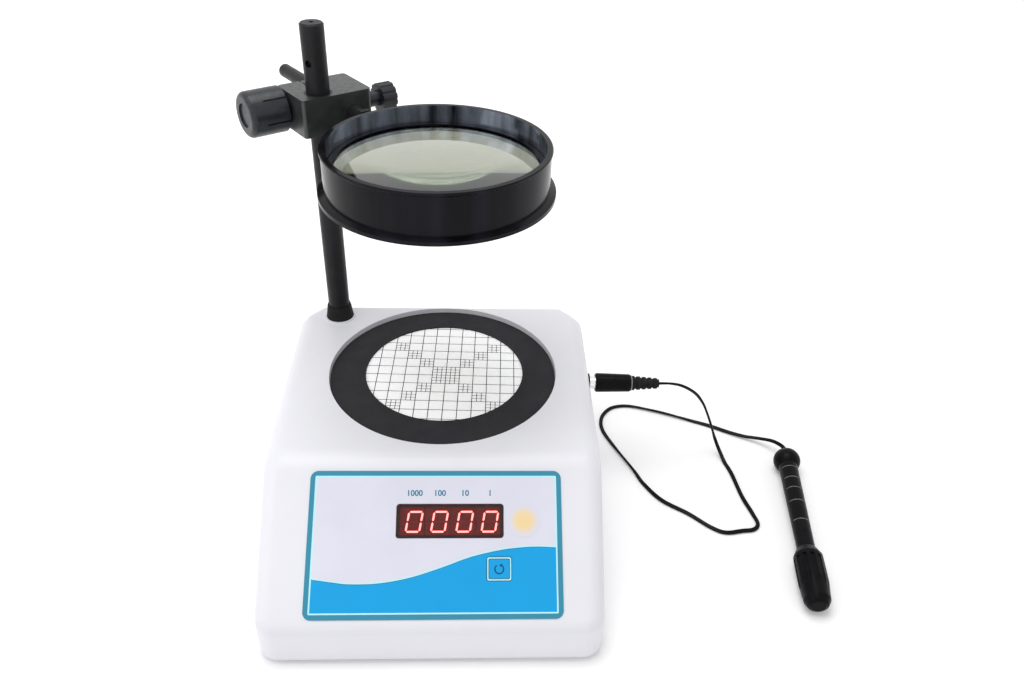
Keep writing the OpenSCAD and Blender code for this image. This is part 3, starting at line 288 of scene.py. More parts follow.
# %% Sweep the twin wires
WIRE_R, WIRE_APART = 0.9, 0.7
ROUTE_Z, LOWER_OVER, LIE_GAP = 1.7, 2.0, 0.2  # height of the lying route, and how it is lowered
WIRE_STEPS = 5
lead_pvc = finish_of("lead_pvc", (0.006, 0.004, 0.004), 0.2, 0.06, 1.5, 0.01, 40, 0.6,
                     specular=0.1)


def twin_outline():
    """Two round wires that touch, as one outline about the middle."""
    open_angle = math.pi - math.acos(WIRE_APART / WIRE_R)
    half = [(WIRE_APART + WIRE_R * math.cos(a), WIRE_R * math.sin(a))
            for a in (open_angle * (k / WIRE_STEPS - 1) for k in range(2 * WIRE_STEPS + 1))]
    return half + [(-x, -y) for x, y in half]


rings, lead_path, travelled = [], [], 0.0
for i, p in enumerate(lead_line):
    ahead = lead_line[min(i + 1, len(lead_line) - 1)]
    behind = lead_line[max(i - 1, 0)]
    heading = (ahead - behind).normalized()
    side = heading.cross(Vector((0, 0, 1))).normalized()
    over = side.cross(heading)
    roll = 0.55 * math.sin(travelled / 31.0 + 0.6) + 0.4 * math.sin(travelled / 13.0)
    lying_z = WIRE_R + LIE_GAP + WIRE_APART * abs(math.sin(roll))
    lower = max(0.0, 1.0 - max(0.0, p.z - ROUTE_Z) / LOWER_OVER)
    centre = Vector((p.x, p.y, p.z + (lying_z - ROUTE_Z) * lower))
    side, over = (side * math.cos(roll) + over * math.sin(roll),
                  over * math.cos(roll) - side * math.sin(roll))
    rings.append([(centre + side * x + over * y) * MM for x, y in twin_outline()])
    lead_path.append(centre * MM)
    travelled += (ahead - p).length
lead = sweep("pen_lead", rings, lead_pvc, "probe")
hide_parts("probe_cord")
print("lead rings:", len(rings))

# %% [markdown]
# ## The bench
# The bench is a plain white sheet. Near the piece it has to keep the shadow, and
# far away it has to melt into the white behind it. A curved backdrop is the
# studio's way. Here the sheet gets a faint glow that grows with the distance
# from the middle, which looks the same from every side.

# %% Lay the bench
NEAR_GLOW, FAR_GLOW = 0.13, 0.5
NEAR_M, FAR_M = 0.28, 1.2


def bench_finish():
    """White with a trace of unevenness, and a glow that grows with distance."""
    material = bpy.data.materials.new("bench_white")
    material.use_nodes = True
    tree = material.node_tree
    shader = tree.nodes["Principled BSDF"]
    shader.inputs["Roughness"].default_value = 0.85
    shader.inputs["Specular IOR Level"].default_value = 0.1
    place = tree.nodes.new("ShaderNodeTexCoord")
    shades = tree.nodes.new("ShaderNodeValToRGB")
    shades.color_ramp.elements[0].color = (0.955, 0.955, 0.955, 1)
    shades.color_ramp.elements[1].color = (0.985, 0.985, 0.985, 1)
    tree.links.new(noise_into(tree, place, 400, 2.0), shades.inputs["Fac"])
    tree.links.new(shades.outputs["Color"], shader.inputs["Base Color"])
    far = tree.nodes.new("ShaderNodeVectorMath")
    far.operation = "LENGTH"
    tree.links.new(place.outputs["Object"], far.inputs[0])
    shader.inputs["Emission Color"].default_value = (1, 1, 1, 1)
    spread_into(tree, far.outputs["Value"], NEAR_GLOW, FAR_GLOW,
                shader.inputs["Emission Strength"], NEAR_M, FAR_M)
    return material


floor_mesh = bpy.data.meshes.new("bench")
floor_mesh.from_pydata([(-4, -4, 0), (4, -4, 0), (4, 6, 0), (-4, 6, 0)], [], [(0, 1, 2, 3)])
floor_mesh.materials.append(bench_finish())
bench = bpy.data.objects.new("bench", floor_mesh)
bpy.context.scene.collection.objects.link(bench)
print("bench:", [round(x) for x in bench.dimensions], "m")

# %% [markdown]
# ## The world
# The world that the camera, the gloss and the glass see is full white. The world
# that lights the piece is dimmer, or the shape would drown in even light. One
# node tells which kind of ray is asking. A picture of a studio would light the
# piece as well, but it would put its own windows into every reflection.

# %% Two brightnesses of one white world
WORLD_LIGHT = 0.55
world = bpy.data.worlds.new("studio")
bpy.context.scene.world = world
world.use_nodes = True
sky = world.node_tree
rays = sky.nodes.new("ShaderNodeLightPath")
strength = sky.nodes.new("ShaderNodeMapRange")
strength.inputs["To Min"].default_value = WORLD_LIGHT
strength.inputs["To Max"].default_value = 1.0
seen = rays.outputs["Is Camera Ray"]
for kind in ("Is Glossy Ray", "Is Transmission Ray"):
    either = sky.nodes.new("ShaderNodeMath")
    either.operation = "MAXIMUM"
    sky.links.new(seen, either.inputs[0])
    sky.links.new(rays.outputs[kind], either.inputs[1])
    seen = either.outputs[0]
sky.links.new(seen, strength.inputs["Value"])
sky.links.new(strength.outputs["Result"], sky.nodes["Background"].inputs["Strength"])
sky.nodes["Background"].inputs["Color"].default_value = (1, 1, 1, 1)
print("world lights the piece at", WORLD_LIGHT, "of what the camera sees")

# %% [markdown]
# ## The lamps
# Three soft lamps add the shape: a broad one above, one at the left, and a low
# fill in front. Large area lamps stand for softboxes, whose shadows have no hard
# edge. They are weak, because white plastic loses its shading under strong ones.

# %% Hang the lamps
def lamp(name, place, aim, size, watts):
    """A rectangular area lamp that looks at a point; lengths in metres."""
    light = bpy.data.lights.new(name, "AREA")
    light.shape, light.size, light.size_y = "RECTANGLE", size[0], size[1]
    light.energy = watts
    holder = bpy.data.objects.new(name, light)
    holder.location = place
    holder.rotation_mode = "QUATERNION"
    holder.rotation_quaternion = (Vector(aim) - Vector(place)).to_track_quat("-Z", "Y")
    bpy.context.scene.collection.objects.link(holder)


lamp("lamp_above", (-0.15, 0.15, 1.6), (0, 0, 0.05), (1.2, 0.9), 13.2)
lamp("lamp_left", (-1.2, -0.3, 0.9), (0, 0, 0.05), (0.8, 0.8), 2.3)
lamp("lamp_front", (-0.5, -1.5, 0.8), (0.0, 0, 0.08), (1.2, 0.6), 1.5)
bpy.context.scene.view_settings.view_transform = "Standard"

# %% [markdown]
# ## Dress the solids
# Each solid keeps its shape and takes a finish. A table that lists the pieces
# under their finish is easier to check than a line for each piece, and it shows
# at once which parts of the real counter are made of the same stuff.

# %% Give every solid its finish
finishes = {
    white_shell: ["housing"],
    plated_steel: ["base_plate", "base_screws", "inlet_screws", "pole_socket", "socket_screws",
                   "pole_clamp_screw", "rod_clamp_screw", "pen_spring"],
    black_rubber: ["rubber_feet", "pole_collar", "plug_relief"],
    ring_mat: ["well_mat"],
    opal_white: ["grid_plate"],
    bowl_paint: ["lamp_bowl"],
    board_white: ["lamp_board"],
    board_green: ["display_board", "control_board"],
    turned_brass: ["board_posts"],
    chip_black: ["key_switch", "control_chips", "buzzer", "power_inlet", "switch_body",
                 "fuse_holder", "fuse_cap", "rod_liner", "pen_switch"],
    core_varnish: ["transformer_core"],
    coil_tape: ["transformer_coil"],
    red_rocker: ["power_rocker"],
    bright_nickel: ["fuse", "plug_pin"],
    black_satin: ["pole", "arm_rod", "rod_nut", "pole_liner"],
    black_block: ["arm_block"],
    black_knob: ["pole_knob", "rod_knob"],
    # the glossy blacks carry painted reflection streaks
    black_gloss_painted_reflection: ["lens_drum", "lens_retainer", "jack_nut", "probe_jack"],
    black_pen: ["pen_head", "pen_barrel", "pen_cap", "pen_tip", "probe_plug"],
}


def dress(node, finish):
    """Gives a solid its one finish."""
    mesh = solids[node].data
    mesh.materials.clear()
    mesh.materials.append(finish)


for finish, names in finishes.items():
    for name in names:
        dress(name, finish)
print("dressed:", sum(len(names) for names in finishes.values()), "of", len(solids))

# %% [markdown]
# ## Soft edges on the shell
# The moulded shell is round at its crest and corners, but its solid is built
# from flat facets. The modifiers weld them, shade them round below a set angle,
# and weigh the normals by area so that the big faces stay flat in the gloss.
# Bevels would change the shape; this changes only how the light runs over it.

# %% Round shading for the shell
SHARP_FROM = 28  # degrees between two faces
WELD_MM = 0.003


def round_shading(name, limit_degrees):
    """Welds a mesh and shades it smooth, except where it turns by more than the limit."""
    group = bpy.data.node_groups.new(name, "GeometryNodeTree")
    group.interface.new_socket("Geometry", in_out="INPUT", socket_type="NodeSocketGeometry")
    group.interface.new_socket("Geometry", in_out="OUTPUT", socket_type="NodeSocketGeometry")
    start, end = group.nodes.new("NodeGroupInput"), group.nodes.new("NodeGroupOutput")
    weld = group.nodes.new("GeometryNodeMergeByDistance")
    weld.inputs["Distance"].default_value = WELD_MM * MM
    forget = group.nodes.new("GeometryNodeRemoveAttribute")
    forget.inputs["Name"].default_value = "custom_normal"
    shades = []
    for domain, smooth in (("FACE", True), ("EDGE", True), ("EDGE", False)):
        shade = group.nodes.new("GeometryNodeSetShadeSmooth")
        shade.domain = domain
        shade.inputs["Shade Smooth"].default_value = smooth
        shades.append(shade)
    faces_smooth, edges_smooth, edges_sharp = shades
    turn = group.nodes.new("GeometryNodeInputMeshEdgeAngle")
    over_limit = group.nodes.new("FunctionNodeCompare")
    over_limit.data_type, over_limit.operation = "FLOAT", "GREATER_THAN"
    over_limit.inputs["B"].default_value = math.radians(limit_degrees)
    link = group.links.new
    link(start.outputs[0], weld.inputs["Geometry"])
    link(weld.outputs["Geometry"], forget.inputs["Geometry"])
    link(forget.outputs["Geometry"], faces_smooth.inputs["Geometry"])
    link(faces_smooth.outputs["Geometry"], edges_smooth.inputs["Geometry"])
    link(edges_smooth.outputs["Geometry"], edges_sharp.inputs["Geometry"])
    link(turn.outputs["Unsigned Angle"], over_limit.inputs["A"])
    link(over_limit.outputs["Result"], edges_sharp.inputs["Selection"])
    link(edges_sharp.outputs["Geometry"], end.inputs[0])
    return group


shell_shading = solids["housing"].modifiers.new("round shading", "NODES")
shell_shading.node_group = round_shading("shell shading", SHARP_FROM)
shell_weights = solids["housing"].modifiers.new("weighted normals", "WEIGHTED_NORMAL")
shell_weights.keep_sharp = True
print("shell modifiers:", [m.name for m in solids["housing"].modifiers])

# %% [markdown]
# ## The printed panel film
# The film on the slope is one polyester sheet with a teal border, a light line,
# a pale field and a blue wave. Printing could be a texture, but thin layers cut
# to shape stay sharp at any distance. Each layer is a flat curve, filled and
# given a few hundredths of a millimetre of thickness. Every layer is drawn in
# the film's own flat plane, with its middle at nought, and then laid in place.

# %% The plane of the film, and outlines in it
PANEL_W, PANEL_L, PANEL_T = 159.0, 90.5, 0.5
SLOPE = math.radians(38)
# the film's middle across, the crest it hangs from, the deck, and the gap to the film
PANEL_X, CREST_Y, DECK_Z, PANEL_GAP = 2.0, -48.6, 97.0, 9.0
panel_mid = PANEL_GAP + PANEL_L / 2
panel_place = (Matrix.Translation(Vector((PANEL_X, CREST_Y - panel_mid * math.cos(SLOPE),
                                          DECK_Z - panel_mid * math.sin(SLOPE))))
               @ Matrix.Rotation(SLOPE, 4, "X"))


def round_rect(w, h, r, x=0.0, y=0.0, steps=8):
    """The outline of a rectangle with round corners about a middle."""
    corners = [(w / 2 - r, h / 2 - r, 0), (r - w / 2, h / 2 - r, 90),
               (r - w / 2, r - h / 2, 180), (w / 2 - r, r - h / 2, 270)]
    return [(x + cx + r * math.cos(math.radians(a + 90 * k / steps)),
             y + cy + r * math.sin(math.radians(a + 90 * k / steps)))
            for cx, cy, a in corners for k in range(steps + 1)]


def ring_of(r, x, y, steps=48):
    """The outline of a disc."""
    return [(x + r * math.cos(2 * math.pi * k / steps), y + r * math.sin(2 * math.pi * k / steps))
            for k in range(steps)]


print("film:", PANEL_W, "x", PANEL_L, "mm, its middle at",
      [round(c, 1) for c in panel_place.translation])

# %% [markdown]
# ## From a curve to a layer
# A layer starts as a flat curve, because curves fill themselves and leave holes
# where one outline lies inside another. It becomes a mesh at once, is moved onto
# the slope, and rides on the body of what it is printed on.

# %% Helpers: from a curve to a layer
def lay_on_film(name, curve, x, y, lift, finish, body):
    """Makes a mesh piece of a curve and lays it on the film, lifted off its back."""
    holder = bpy.data.objects.new(name + "_outline", curve)
    bpy.context.scene.collection.objects.link(holder)
    bpy.context.view_layer.update()
    mesh = bpy.data.meshes.new_from_object(
        holder.evaluated_get(bpy.context.evaluated_depsgraph_get()))
    bpy.data.objects.remove(holder)
    mesh.name = name
    where = Matrix.Translation(panel_place.translation * MM) @ panel_place.to_3x3().to_4x4()
    mesh.transform(where @ Matrix.Translation((x * MM, y * MM, lift * MM)))
    mesh.materials.clear()
    mesh.materials.append(finish)
    piece = bpy.data.objects.new(name, mesh)
    bpy.context.scene.collection.objects.link(piece)
    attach(piece, body)
    return piece


def cut_layer(name, outlines, lift, thick, finish, body="base"):
    """A flat layer from outlines in millimetres; an outline inside another is a hole."""
    curve = bpy.data.curves.new(name, "CURVE")
    curve.dimensions, curve.fill_mode = "2D", "BOTH"
    curve.extrude = thick * MM / 2
    for outline in outlines:
        spline = curve.splines.new("POLY")
        spline.points.add(len(outline) - 1)
        for point, (x, y) in zip(spline.points, outline):
            point.co = (x * MM, y * MM, 0, 1)
        spline.use_cyclic_u = True
    layer = lay_on_film(name, curve, 0.0, 0.0, lift + thick / 2, finish, body)
    for face in layer.data.polygons:
        face.use_smooth = False


# %% [markdown]
# ## Inks
# Printing ink on film is even and nearly matt, so all inks share one mix and
# differ only in colour. The film itself takes the teal of the border, since the
# border is what is left of it when the other layers are laid.

# %% Colours of the print
def ink(name, colour):
    """A printed colour with a dull shine."""
    return finish_of(name, colour, 0.38, 0.04, 0.5, 0.004, 30, 0.02, specular=0.18)


FIELD_COLOUR = (0.76, 0.76, 0.87)
ink_teal = ink("ink_teal", (0.05, 0.28, 0.41))
ink_line = ink("ink_line", (0.52, 0.92, 1.0))
ink_field = ink("ink_field", FIELD_COLOUR)
ink_blue = ink("ink_blue", (0.012, 0.38, 0.80))
ink_dark = ink("ink_dark", (0.03, 0.2, 0.33))
ink_navy = ink("ink_navy", (0.008, 0.07, 0.16))
dress("panel_sheet", ink_teal)
print("inks:", len([m for m in bpy.data.materials if m.name.startswith("ink_")]))

# %% [markdown]
# ## Line, field and wave
# A light line runs round inside the border, the pale field fills the rest, and a
# blue band with a wavy top covers its lower part. The wave is set by a few
# heights, and a smooth curve is led through them. One sine would be shorter, but
# this wave dips a little at the left and then climbs over most of the film.

# %% Lay the print on the film
LAYER = 0.03  # thickness of one printed layer
LINE_IN, FIELD_IN = 6.2, 8.2  # how much smaller than the film
WINDOW_SIZE, WINDOW_MID = (67.5, 21.3), (9.0, 13.8)
KEY_SIZE, KEY_MID = (15.0, 14.0), (39.9, -15.5)
WAVE_MARKS = [(-75.4, -21.4), (-62.6, -23.2), (-52.1, -24.3), (-33.8, -23.8), (-15.4, -20.6),
              (3.1, -15.0), (21.9, -8.4), (40.9, -4.1), (53.6, -2.6), (64.6, -2.15),
              (75.4, -2.65)]
window_hole = round_rect(*WINDOW_SIZE, 2.0, *WINDOW_MID)
key_hole = round_rect(KEY_SIZE[0] + 0.8, KEY_SIZE[1] + 0.8, 1.5, *KEY_MID)
cut_layer("print_line",
          [round_rect(PANEL_W - LINE_IN, PANEL_L - LINE_IN, 0.8), window_hole, key_hole],
          PANEL_T, LAYER, ink_line)
cut_layer("print_field",
          [round_rect(PANEL_W - FIELD_IN, PANEL_L - FIELD_IN, 0.4), window_hole, key_hole],
          PANEL_T + LAYER, LAYER, ink_field)


def wave(x):
    """Height of the blue band's top: a cubic Hermite curve from mark to mark."""
    marks = WAVE_MARKS
    for i in range(len(marks) - 1):
        (x1, y1), (x2, y2) = marks[i], marks[i + 1]
        if x <= x2:
            x0, y0 = marks[max(0, i - 1)]
            x3, y3 = marks[min(len(marks) - 1, i + 2)]
            t = (x - x1) / (x2 - x1)
            m1, m2 = (y2 - y0) / (x2 - x0) * (x2 - x1), (y3 - y1) / (x3 - x1) * (x2 - x1)
            return ((2 * t ** 3 - 3 * t * t + 1) * y1 + (t ** 3 - 2 * t * t + t) * m1
                    + (3 * t * t - 2 * t ** 3) * y2 + (t ** 3 - t * t) * m2)
    return marks[-1][1]


def raised(line, rise):
    """The same line, higher or lower on the film."""
    return [(x, y + rise) for x, y in line]


WAVE_STEPS = 60
field_x, field_y = PANEL_W / 2 - FIELD_IN / 2, PANEL_L / 2 - FIELD_IN / 2
crest_xs = [-field_x + 2 * field_x * k / WAVE_STEPS for k in range(WAVE_STEPS + 1)]
crest_line = [(x, wave(x)) for x in crest_xs]
cut_layer("print_wave_line", [raised(crest_line, 0.9) + raised(crest_line[::-1], -0.2)],
          PANEL_T + 2 * LAYER, 0.02, ink_line)
cut_layer("print_wave", [crest_line + [(field_x, -field_y), (-field_x, -field_y)], key_hole],
          PANEL_T + 2 * LAYER, LAYER, ink_blue)
cut_layer("print_wave_edge", [crest_line + raised(crest_line[::-1], -0.45)],
          PANEL_T + 3 * LAYER, 0.01, ink_dark)
print("wave runs from", round(wave(-field_x), 1), "to", round(wave(field_x), 1))

# %% [markdown]
# ## The display
# Behind the tinted window sit four seven-segment modules, all showing nought.
# The window is tinted glass, so all that is seen through it takes on its red. A
# red film painted on the modules would be simpler, but then a slanting view
# would lose the small step from the film down to the digits.

# %% Window and digits
def glow(name, colour, strength):
    """A lit surface: a colour with light of its own, a little uneven."""
    material = bpy.data.materials.new(name)
    material.use_nodes = True
    tree = material.node_tree
    shader = tree.nodes["Principled BSDF"]
    shader.inputs["Roughness"].default_value = 0.4
    place = tree.nodes.new("ShaderNodeTexCoord")
    shades = tree.nodes.new("ShaderNodeValToRGB")
    shades.color_ramp.elements[0].color = tint(colour, 0.92)
    shades.color_ramp.elements[1].color = tint(colour, 1.0)
    tree.links.new(noise_into(tree, place, 2.0, 2.0), shades.inputs["Fac"])
    tree.links.new(shades.outputs["Color"], shader.inputs["Base Color"])
    tree.links.new(shades.outputs["Color"], shader.inputs["Emission Color"])
    shader.inputs["Emission Strength"].default_value = strength
    return material


def clear_glass(name, colour, rough, ior):
    """Smooth tinted glass; the tint works where light passes through."""
    material = finish_of(name, colour, rough, rough * 0.5, grain_depth=0, patch_mm=40, patch=0.02)
    shader = material.node_tree.nodes["Principled BSDF"]
    shader.inputs["Transmission Weight"].default_value = 1.0
    shader.inputs["IOR"].default_value = ior
    return material


window_red = clear_glass("window_red", (0.86, 0.36, 0.34), 0.05, 1.35)
digit_body = finish_of("digit_body", (0.14, 0.018, 0.018), 0.5, 0.05, 0.8, 0.004, 6, 0.15)
segment_lit = glow("segment_lit", (1.0, 0.8, 0.78), 2.4)
segment_halo = glow("segment_halo", (1.0, 0.12, 0.1), 0.55)
segment_dark = finish_of("segment_dark", (0.2, 0.03, 0.03), 0.5, 0.04, 0.8, 0.002, 6, 0.1)
dress("display_window", window_red)
dress("display_digits", digit_body)
print("dressed:", ["display_window", "display_digits"])

# %% [markdown]
# ## The digits
# Each digit is seven bars with pointed ends, leaning to the right. The bars that
# are lit lie on a wider halo of deep red, since the plastic round a lit bar
# glows too. A font for such digits exists, but bars made here keep the gaps
# between them, and the middle bar can stay dark.

# %% Light the digits
DIGIT_COUNT, DIGIT_PITCH, DIGIT_TALL, DIGIT_WIDE = 4, 15.9, 13.4, 9.6
BAR, HALO, BAR_GAP = 1.05, 1.5, 0.4
SLANT = math.tan(math.radians(9.5))
BOARD_BACK, BOARD_T, MODULE_TALL = 12, 1.6, 8
DIGIT_TOP = -BOARD_BACK + BOARD_T + MODULE_TALL


def digit_x(i):
    """Middle of the digit, counted from the left."""
    return WINDOW_MID[0] + 1.3 + (i - 1.5) * DIGIT_PITCH


def bar(x1, y1, x2, y2, wide):
    """A bar with pointed ends between two corners of a digit."""
    along = Vector((x2 - x1, y2 - y1)).normalized()
    across = Vector((-along.y, along.x)) * wide / 2
    a, b = Vector((x1, y1)) + along * BAR_GAP, Vector((x2, y2)) - along * BAR_GAP
    tip = along * wide / 2
    return [a, a + tip + across, b - tip + across, b, b - tip - across, a + tip - across]


def digit_bars(x, y, wide):
    """The seven bars of one digit; the last is the middle one, dark in a nought."""
    w, h = DIGIT_WIDE / 2 - BAR / 2, DIGIT_TALL / 2 - BAR / 2
    ends = [(-w, h, w, h), (w, h, w, 0), (w, 0, w, -h), (w, -h, -w, -h), (-w, -h, -w, 0),
            (-w, 0, -w, h), (-w, 0, w, 0)]
    return [[(x + p.x + p.y * SLANT, y + p.y) for p in bar(*e, wide)] for e in ends]


lit, unlit, halo = [], [], []
for i in range(DIGIT_COUNT):
    middle = (digit_x(i), WINDOW_MID[1] - 0.3)
    bars = digit_bars(*middle, BAR)
    lit += bars[:6]
    unlit += bars[6:]
    halo += digit_bars(*middle, HALO)[:6]
cut_layer("lit_halo", halo, DIGIT_TOP, 0.06, segment_halo)
cut_layer("lit_bars", lit, DIGIT_TOP + 0.06, 0.08, segment_lit)
cut_layer("dark_bars", unlit, DIGIT_TOP, 0.08, segment_dark)
print("bars lit:", len(lit))

# %% [markdown]
# ## The key
# The key sets the count back to nought. It is a blue cap with a light frame and
# an arrow that turns back to its start. Its layers ride on the key's own body,
# so that they go down with it when it is pressed.

# %% Print the key
KEY_TOP, KEY_LAYER = 0.8, 0.02
HEAD_TURN = 0.62  # how far the arrow head runs on, in radians


def arrow_round(x, y, r, wide, gap_degrees=70, steps=28):
    """An open ring with an arrow head at its end."""
    start, sweep_by = math.radians(90 + gap_degrees / 2), math.radians(360 - gap_degrees)
    turn = [start + sweep_by * k / steps for k in range(steps + 1)]
    outer = [(x + (r + wide / 2) * math.cos(a), y + (r + wide / 2) * math.sin(a)) for a in turn]
    inner = [(x + (r - wide / 2) * math.cos(a), y + (r - wide / 2) * math.sin(a)) for a in turn]
    end = turn[-1]
    reach = end + HEAD_TURN
    head = [(x + (r - wide * 1.5) * math.cos(end), y + (r - wide * 1.5) * math.sin(end)),
            (x + r * math.cos(reach), y + r * math.sin(reach)),
            (x + (r + wide * 1.5) * math.cos(end), y + (r + wide * 1.5) * math.sin(end))]
    return outer + head[::-1] + inner[::-1]


dress("reset_key", ink_line)
cut_layer("key_edge", [round_rect(13.4, 12.4, 0.9, *KEY_MID)], KEY_TOP, KEY_LAYER, ink_dark,
          "reset")
cut_layer("key_face", [round_rect(12.3, 11.3, 0.6, *KEY_MID)], KEY_TOP + KEY_LAYER, KEY_LAYER,
          ink_blue, "reset")
cut_layer("key_arrow", [arrow_round(KEY_MID[0], KEY_MID[1] - 0.2, 2.7, 0.8)],
          KEY_TOP + 2 * KEY_LAYER, KEY_LAYER, ink_navy, "reset")
print("key's print begins", KEY_TOP, "mm above the film's back")

# %% [markdown]
# ## Place values
# A plain place value stands over each digit. Letters are the one thing here that
# a font draws better than an outline by hand. The text becomes a mesh at once,
# so that the result doesn't hang on a font being there later.

# %% Print the place values
VALUE_Y, VALUE_TALL = 31.0, 3.6
FONT_SCALE = 1.42  # size of the font for digits one millimetre tall


def place_value(text, x):
    """A number printed on the film, with slightly bolder strokes than the font's."""
    letters = bpy.data.curves.new("value_" + text, "FONT")
    letters.body, letters.size = text, VALUE_TALL * MM * FONT_SCALE
    letters.align_x, letters.align_y = "CENTER", "CENTER"
    letters.extrude, letters.offset = 0.012 * MM, 0.12 * MM
    lay_on_film("place_value_" + text, letters, x, VALUE_Y, PANEL_T + 0.07, ink_dark, "base")


for i, text in enumerate(["1000", "100", "10", "1"]):
    place_value(text, digit_x(i))
print("place values:", DIGIT_COUNT)

# %% [markdown]
# ## The lamp behind the film
# The lamp shines through the film, so it is a soft round glow without an edge.
# The field's colour turns to yellow towards the middle, by the distance from
# it. A real light behind a film that lets it through would work too, but that is
# slow to render for so small a spot.

# %% Fade the glow into the field
LAMP_X = 55.5
GLOW_R, LAYER_R, FULL_TO = 10.5, 10.4, 0.3
GLOW_COLOUR = (0.93, 0.72, 0.38)


def glow_film():
    """Field colour with a yellow glow that fades from the middle."""
    material = ink("glow_film", FIELD_COLOUR)
    tree = material.node_tree
    shader = tree.nodes["Principled BSDF"]
    place = tree.nodes.new("ShaderNodeTexCoord")
    middle = panel_place @ Vector((LAMP_X, WINDOW_MID[1], PANEL_T))
    offset = tree.nodes.new("ShaderNodeVectorMath")
    offset.operation = "DISTANCE"
    offset.inputs[1].default_value = middle * MM
    fade = tree.nodes.new("ShaderNodeValToRGB")
    fade.color_ramp.interpolation = "EASE"
    fade.color_ramp.elements[0].position = FULL_TO
    fade.color_ramp.elements[0].color = (*GLOW_COLOUR, 1)
    fade.color_ramp.elements[1].position = 1.0
    fade.color_ramp.elements[1].color = (*FIELD_COLOUR, 1)
    span = tree.nodes.new("ShaderNodeMapRange")
    span.inputs["From Max"].default_value = GLOW_R * MM
    tree.links.new(place.outputs["Object"], offset.inputs[0])
    tree.links.new(offset.outputs["Value"], span.inputs["Value"])
    tree.links.new(span.outputs["Result"], fade.inputs["Fac"])
    tree.links.new(fade.outputs["Color"], shader.inputs["Base Color"])
    return material


lamp_film = glow_film()
dress("status_lamp", lamp_film)
cut_layer("lamp_glow", [ring_of(LAYER_R, LAMP_X, WINDOW_MID[1])], PANEL_T + 0.21, 0.02,
          lamp_film)
print("glow fades out at", GLOW_R, "mm from its middle")

# %% [markdown]
# ## The counting plate
# The plate is opal acrylic with a ruled grid: 10 mm squares, and a cross of
# finer squares for sampling. Every line is a thin strip laid on the plate.
# Squares can be counted at a glance, so the spacing must be exact, and strips
# made by numbers are. Crossing strips get tiny steps in height, so that no two
# tops lie in one plane and flicker.

# %% Rule the grid
PLATE_TOP = 92.0
GRID_MID = Vector((4.8, 45.0))
GRID_TURN = math.radians(-1.72)
CELL, RULED_R = 10, 66.0
THICK_LINE, THIN_LINE = 0.6, 0.5
STRIP_LOW, STRIP_HIGH, STRIP_STEP = 0.004, 0.02, 0.00002
ruling = finish_of("ruling", (0.02, 0.02, 0.03), 0.5, 0.04, 0.5, 0.002, 8, 0.15)


def strip(x1, y1, x2, y2, wide):
    """The four corners of a line of some width between two points."""
    along = Vector((x2 - x1, y2 - y1)).normalized()
    across = Vector((-along.y, along.x)) * wide / 2
    return [Vector((x1, y1)) + across, Vector((x2, y2)) + across,
            Vector((x2, y2)) - across, Vector((x1, y1)) - across]


def on_plate(p, level):
    """A point of the grid, turned and moved to where the grid lies on the plate."""
    return Vector((p.x * math.cos(GRID_TURN) - p.y * math.sin(GRID_TURN) + GRID_MID.x,
                   p.x * math.sin(GRID_TURN) + p.y * math.cos(GRID_TURN) + GRID_MID.y,
                   PLATE_TOP + level)) * MM


strips = []
for k in range(-6, 7):
    at, reach = CELL * k, math.sqrt(max(0.0, RULED_R ** 2 - (CELL * k) ** 2))
    strips.append(strip(at, -reach, at, reach, THICK_LINE))
    strips.append(strip(-reach, at, reach, at, THICK_LINE))
fine_cells = [(-1, -1), (-1, 0), (0, -1), (0, 0)]
for k in (1, 2, 3):
    fine_cells += [(k, k), (-k - 1, k), (k, -k - 1), (-k - 1, -k - 1)]
for cx, cy in fine_cells:
    x, y = CELL * cx, CELL * cy
    for third in (1, 2):
        at = CELL / 3 * third
        strips.append(strip(x + at, y, x + at, y + CELL, THIN_LINE))
        strips.append(strip(x, y + at, x + CELL, y + at, THIN_LINE))
BOX_SIDES = [(0, 1, 2, 3), (4, 7, 6, 5)] + [(k, k + 4, (k + 1) % 4 + 4, (k + 1) % 4)
                                            for k in range(4)]
points, faces = [], []
for layer, corners in enumerate(strips):
    for level in (STRIP_LOW, STRIP_HIGH + STRIP_STEP * layer):
        points += [on_plate(p, level) for p in corners]
    faces += [tuple(8 * layer + k for k in side) for side in BOX_SIDES]
make_piece("ruled_grid", points, faces, ruling, "base", smooth=False)
print("strips:", len(strips))

# %% [markdown]
# ## The magnifier
# The lens is one thick glass, bulging on both faces. Its solid is turned from a
# few straight steps, which would bend light in bands, so the glass is turned
# again here from a fine curve with the same edge, thickness and bulge. Real
# refraction does the rest: the drum and the bench bend in it as in real glass.

# %% Turn the glass
LENS_R, LENS_EDGE, LENS_BULGE = 68.2, 3.0, 6.0
lens_glass = clear_glass("lens_glass", (0.345, 0.322, 0.268), 0.004, 1.5)
lens_shader = lens_glass.node_tree.nodes["Principled BSDF"]
lens_shader.inputs["Coat Weight"].default_value = 1.0
lens_shader.inputs["Coat Roughness"].default_value = 0.08
lens_shader.inputs["Coat Tint"].default_value = (0.96, 1.0, 0.97, 1)
lens_corners = [Vector(c) for c in solids["lens"].bound_box]
lens_mid = [(min(c[k] for c in lens_corners) / MM + max(c[k] for c in lens_corners) / MM) / 2
            for k in range(3)]


def glass_profile(steps=40):
    """Radius and height of the lower face and of the upper one, each part of a ball."""
    ball = (LENS_R ** 2 + LENS_BULGE ** 2) / (2 * LENS_BULGE)
    radii = [LENS_R * k / steps for k in range(1, steps + 1)]
    top = [(r, LENS_EDGE / 2 + LENS_BULGE - ball + math.sqrt(ball ** 2 - r ** 2)) for r in radii]
    return [(r, -z) for r, z in top], top[::-1]


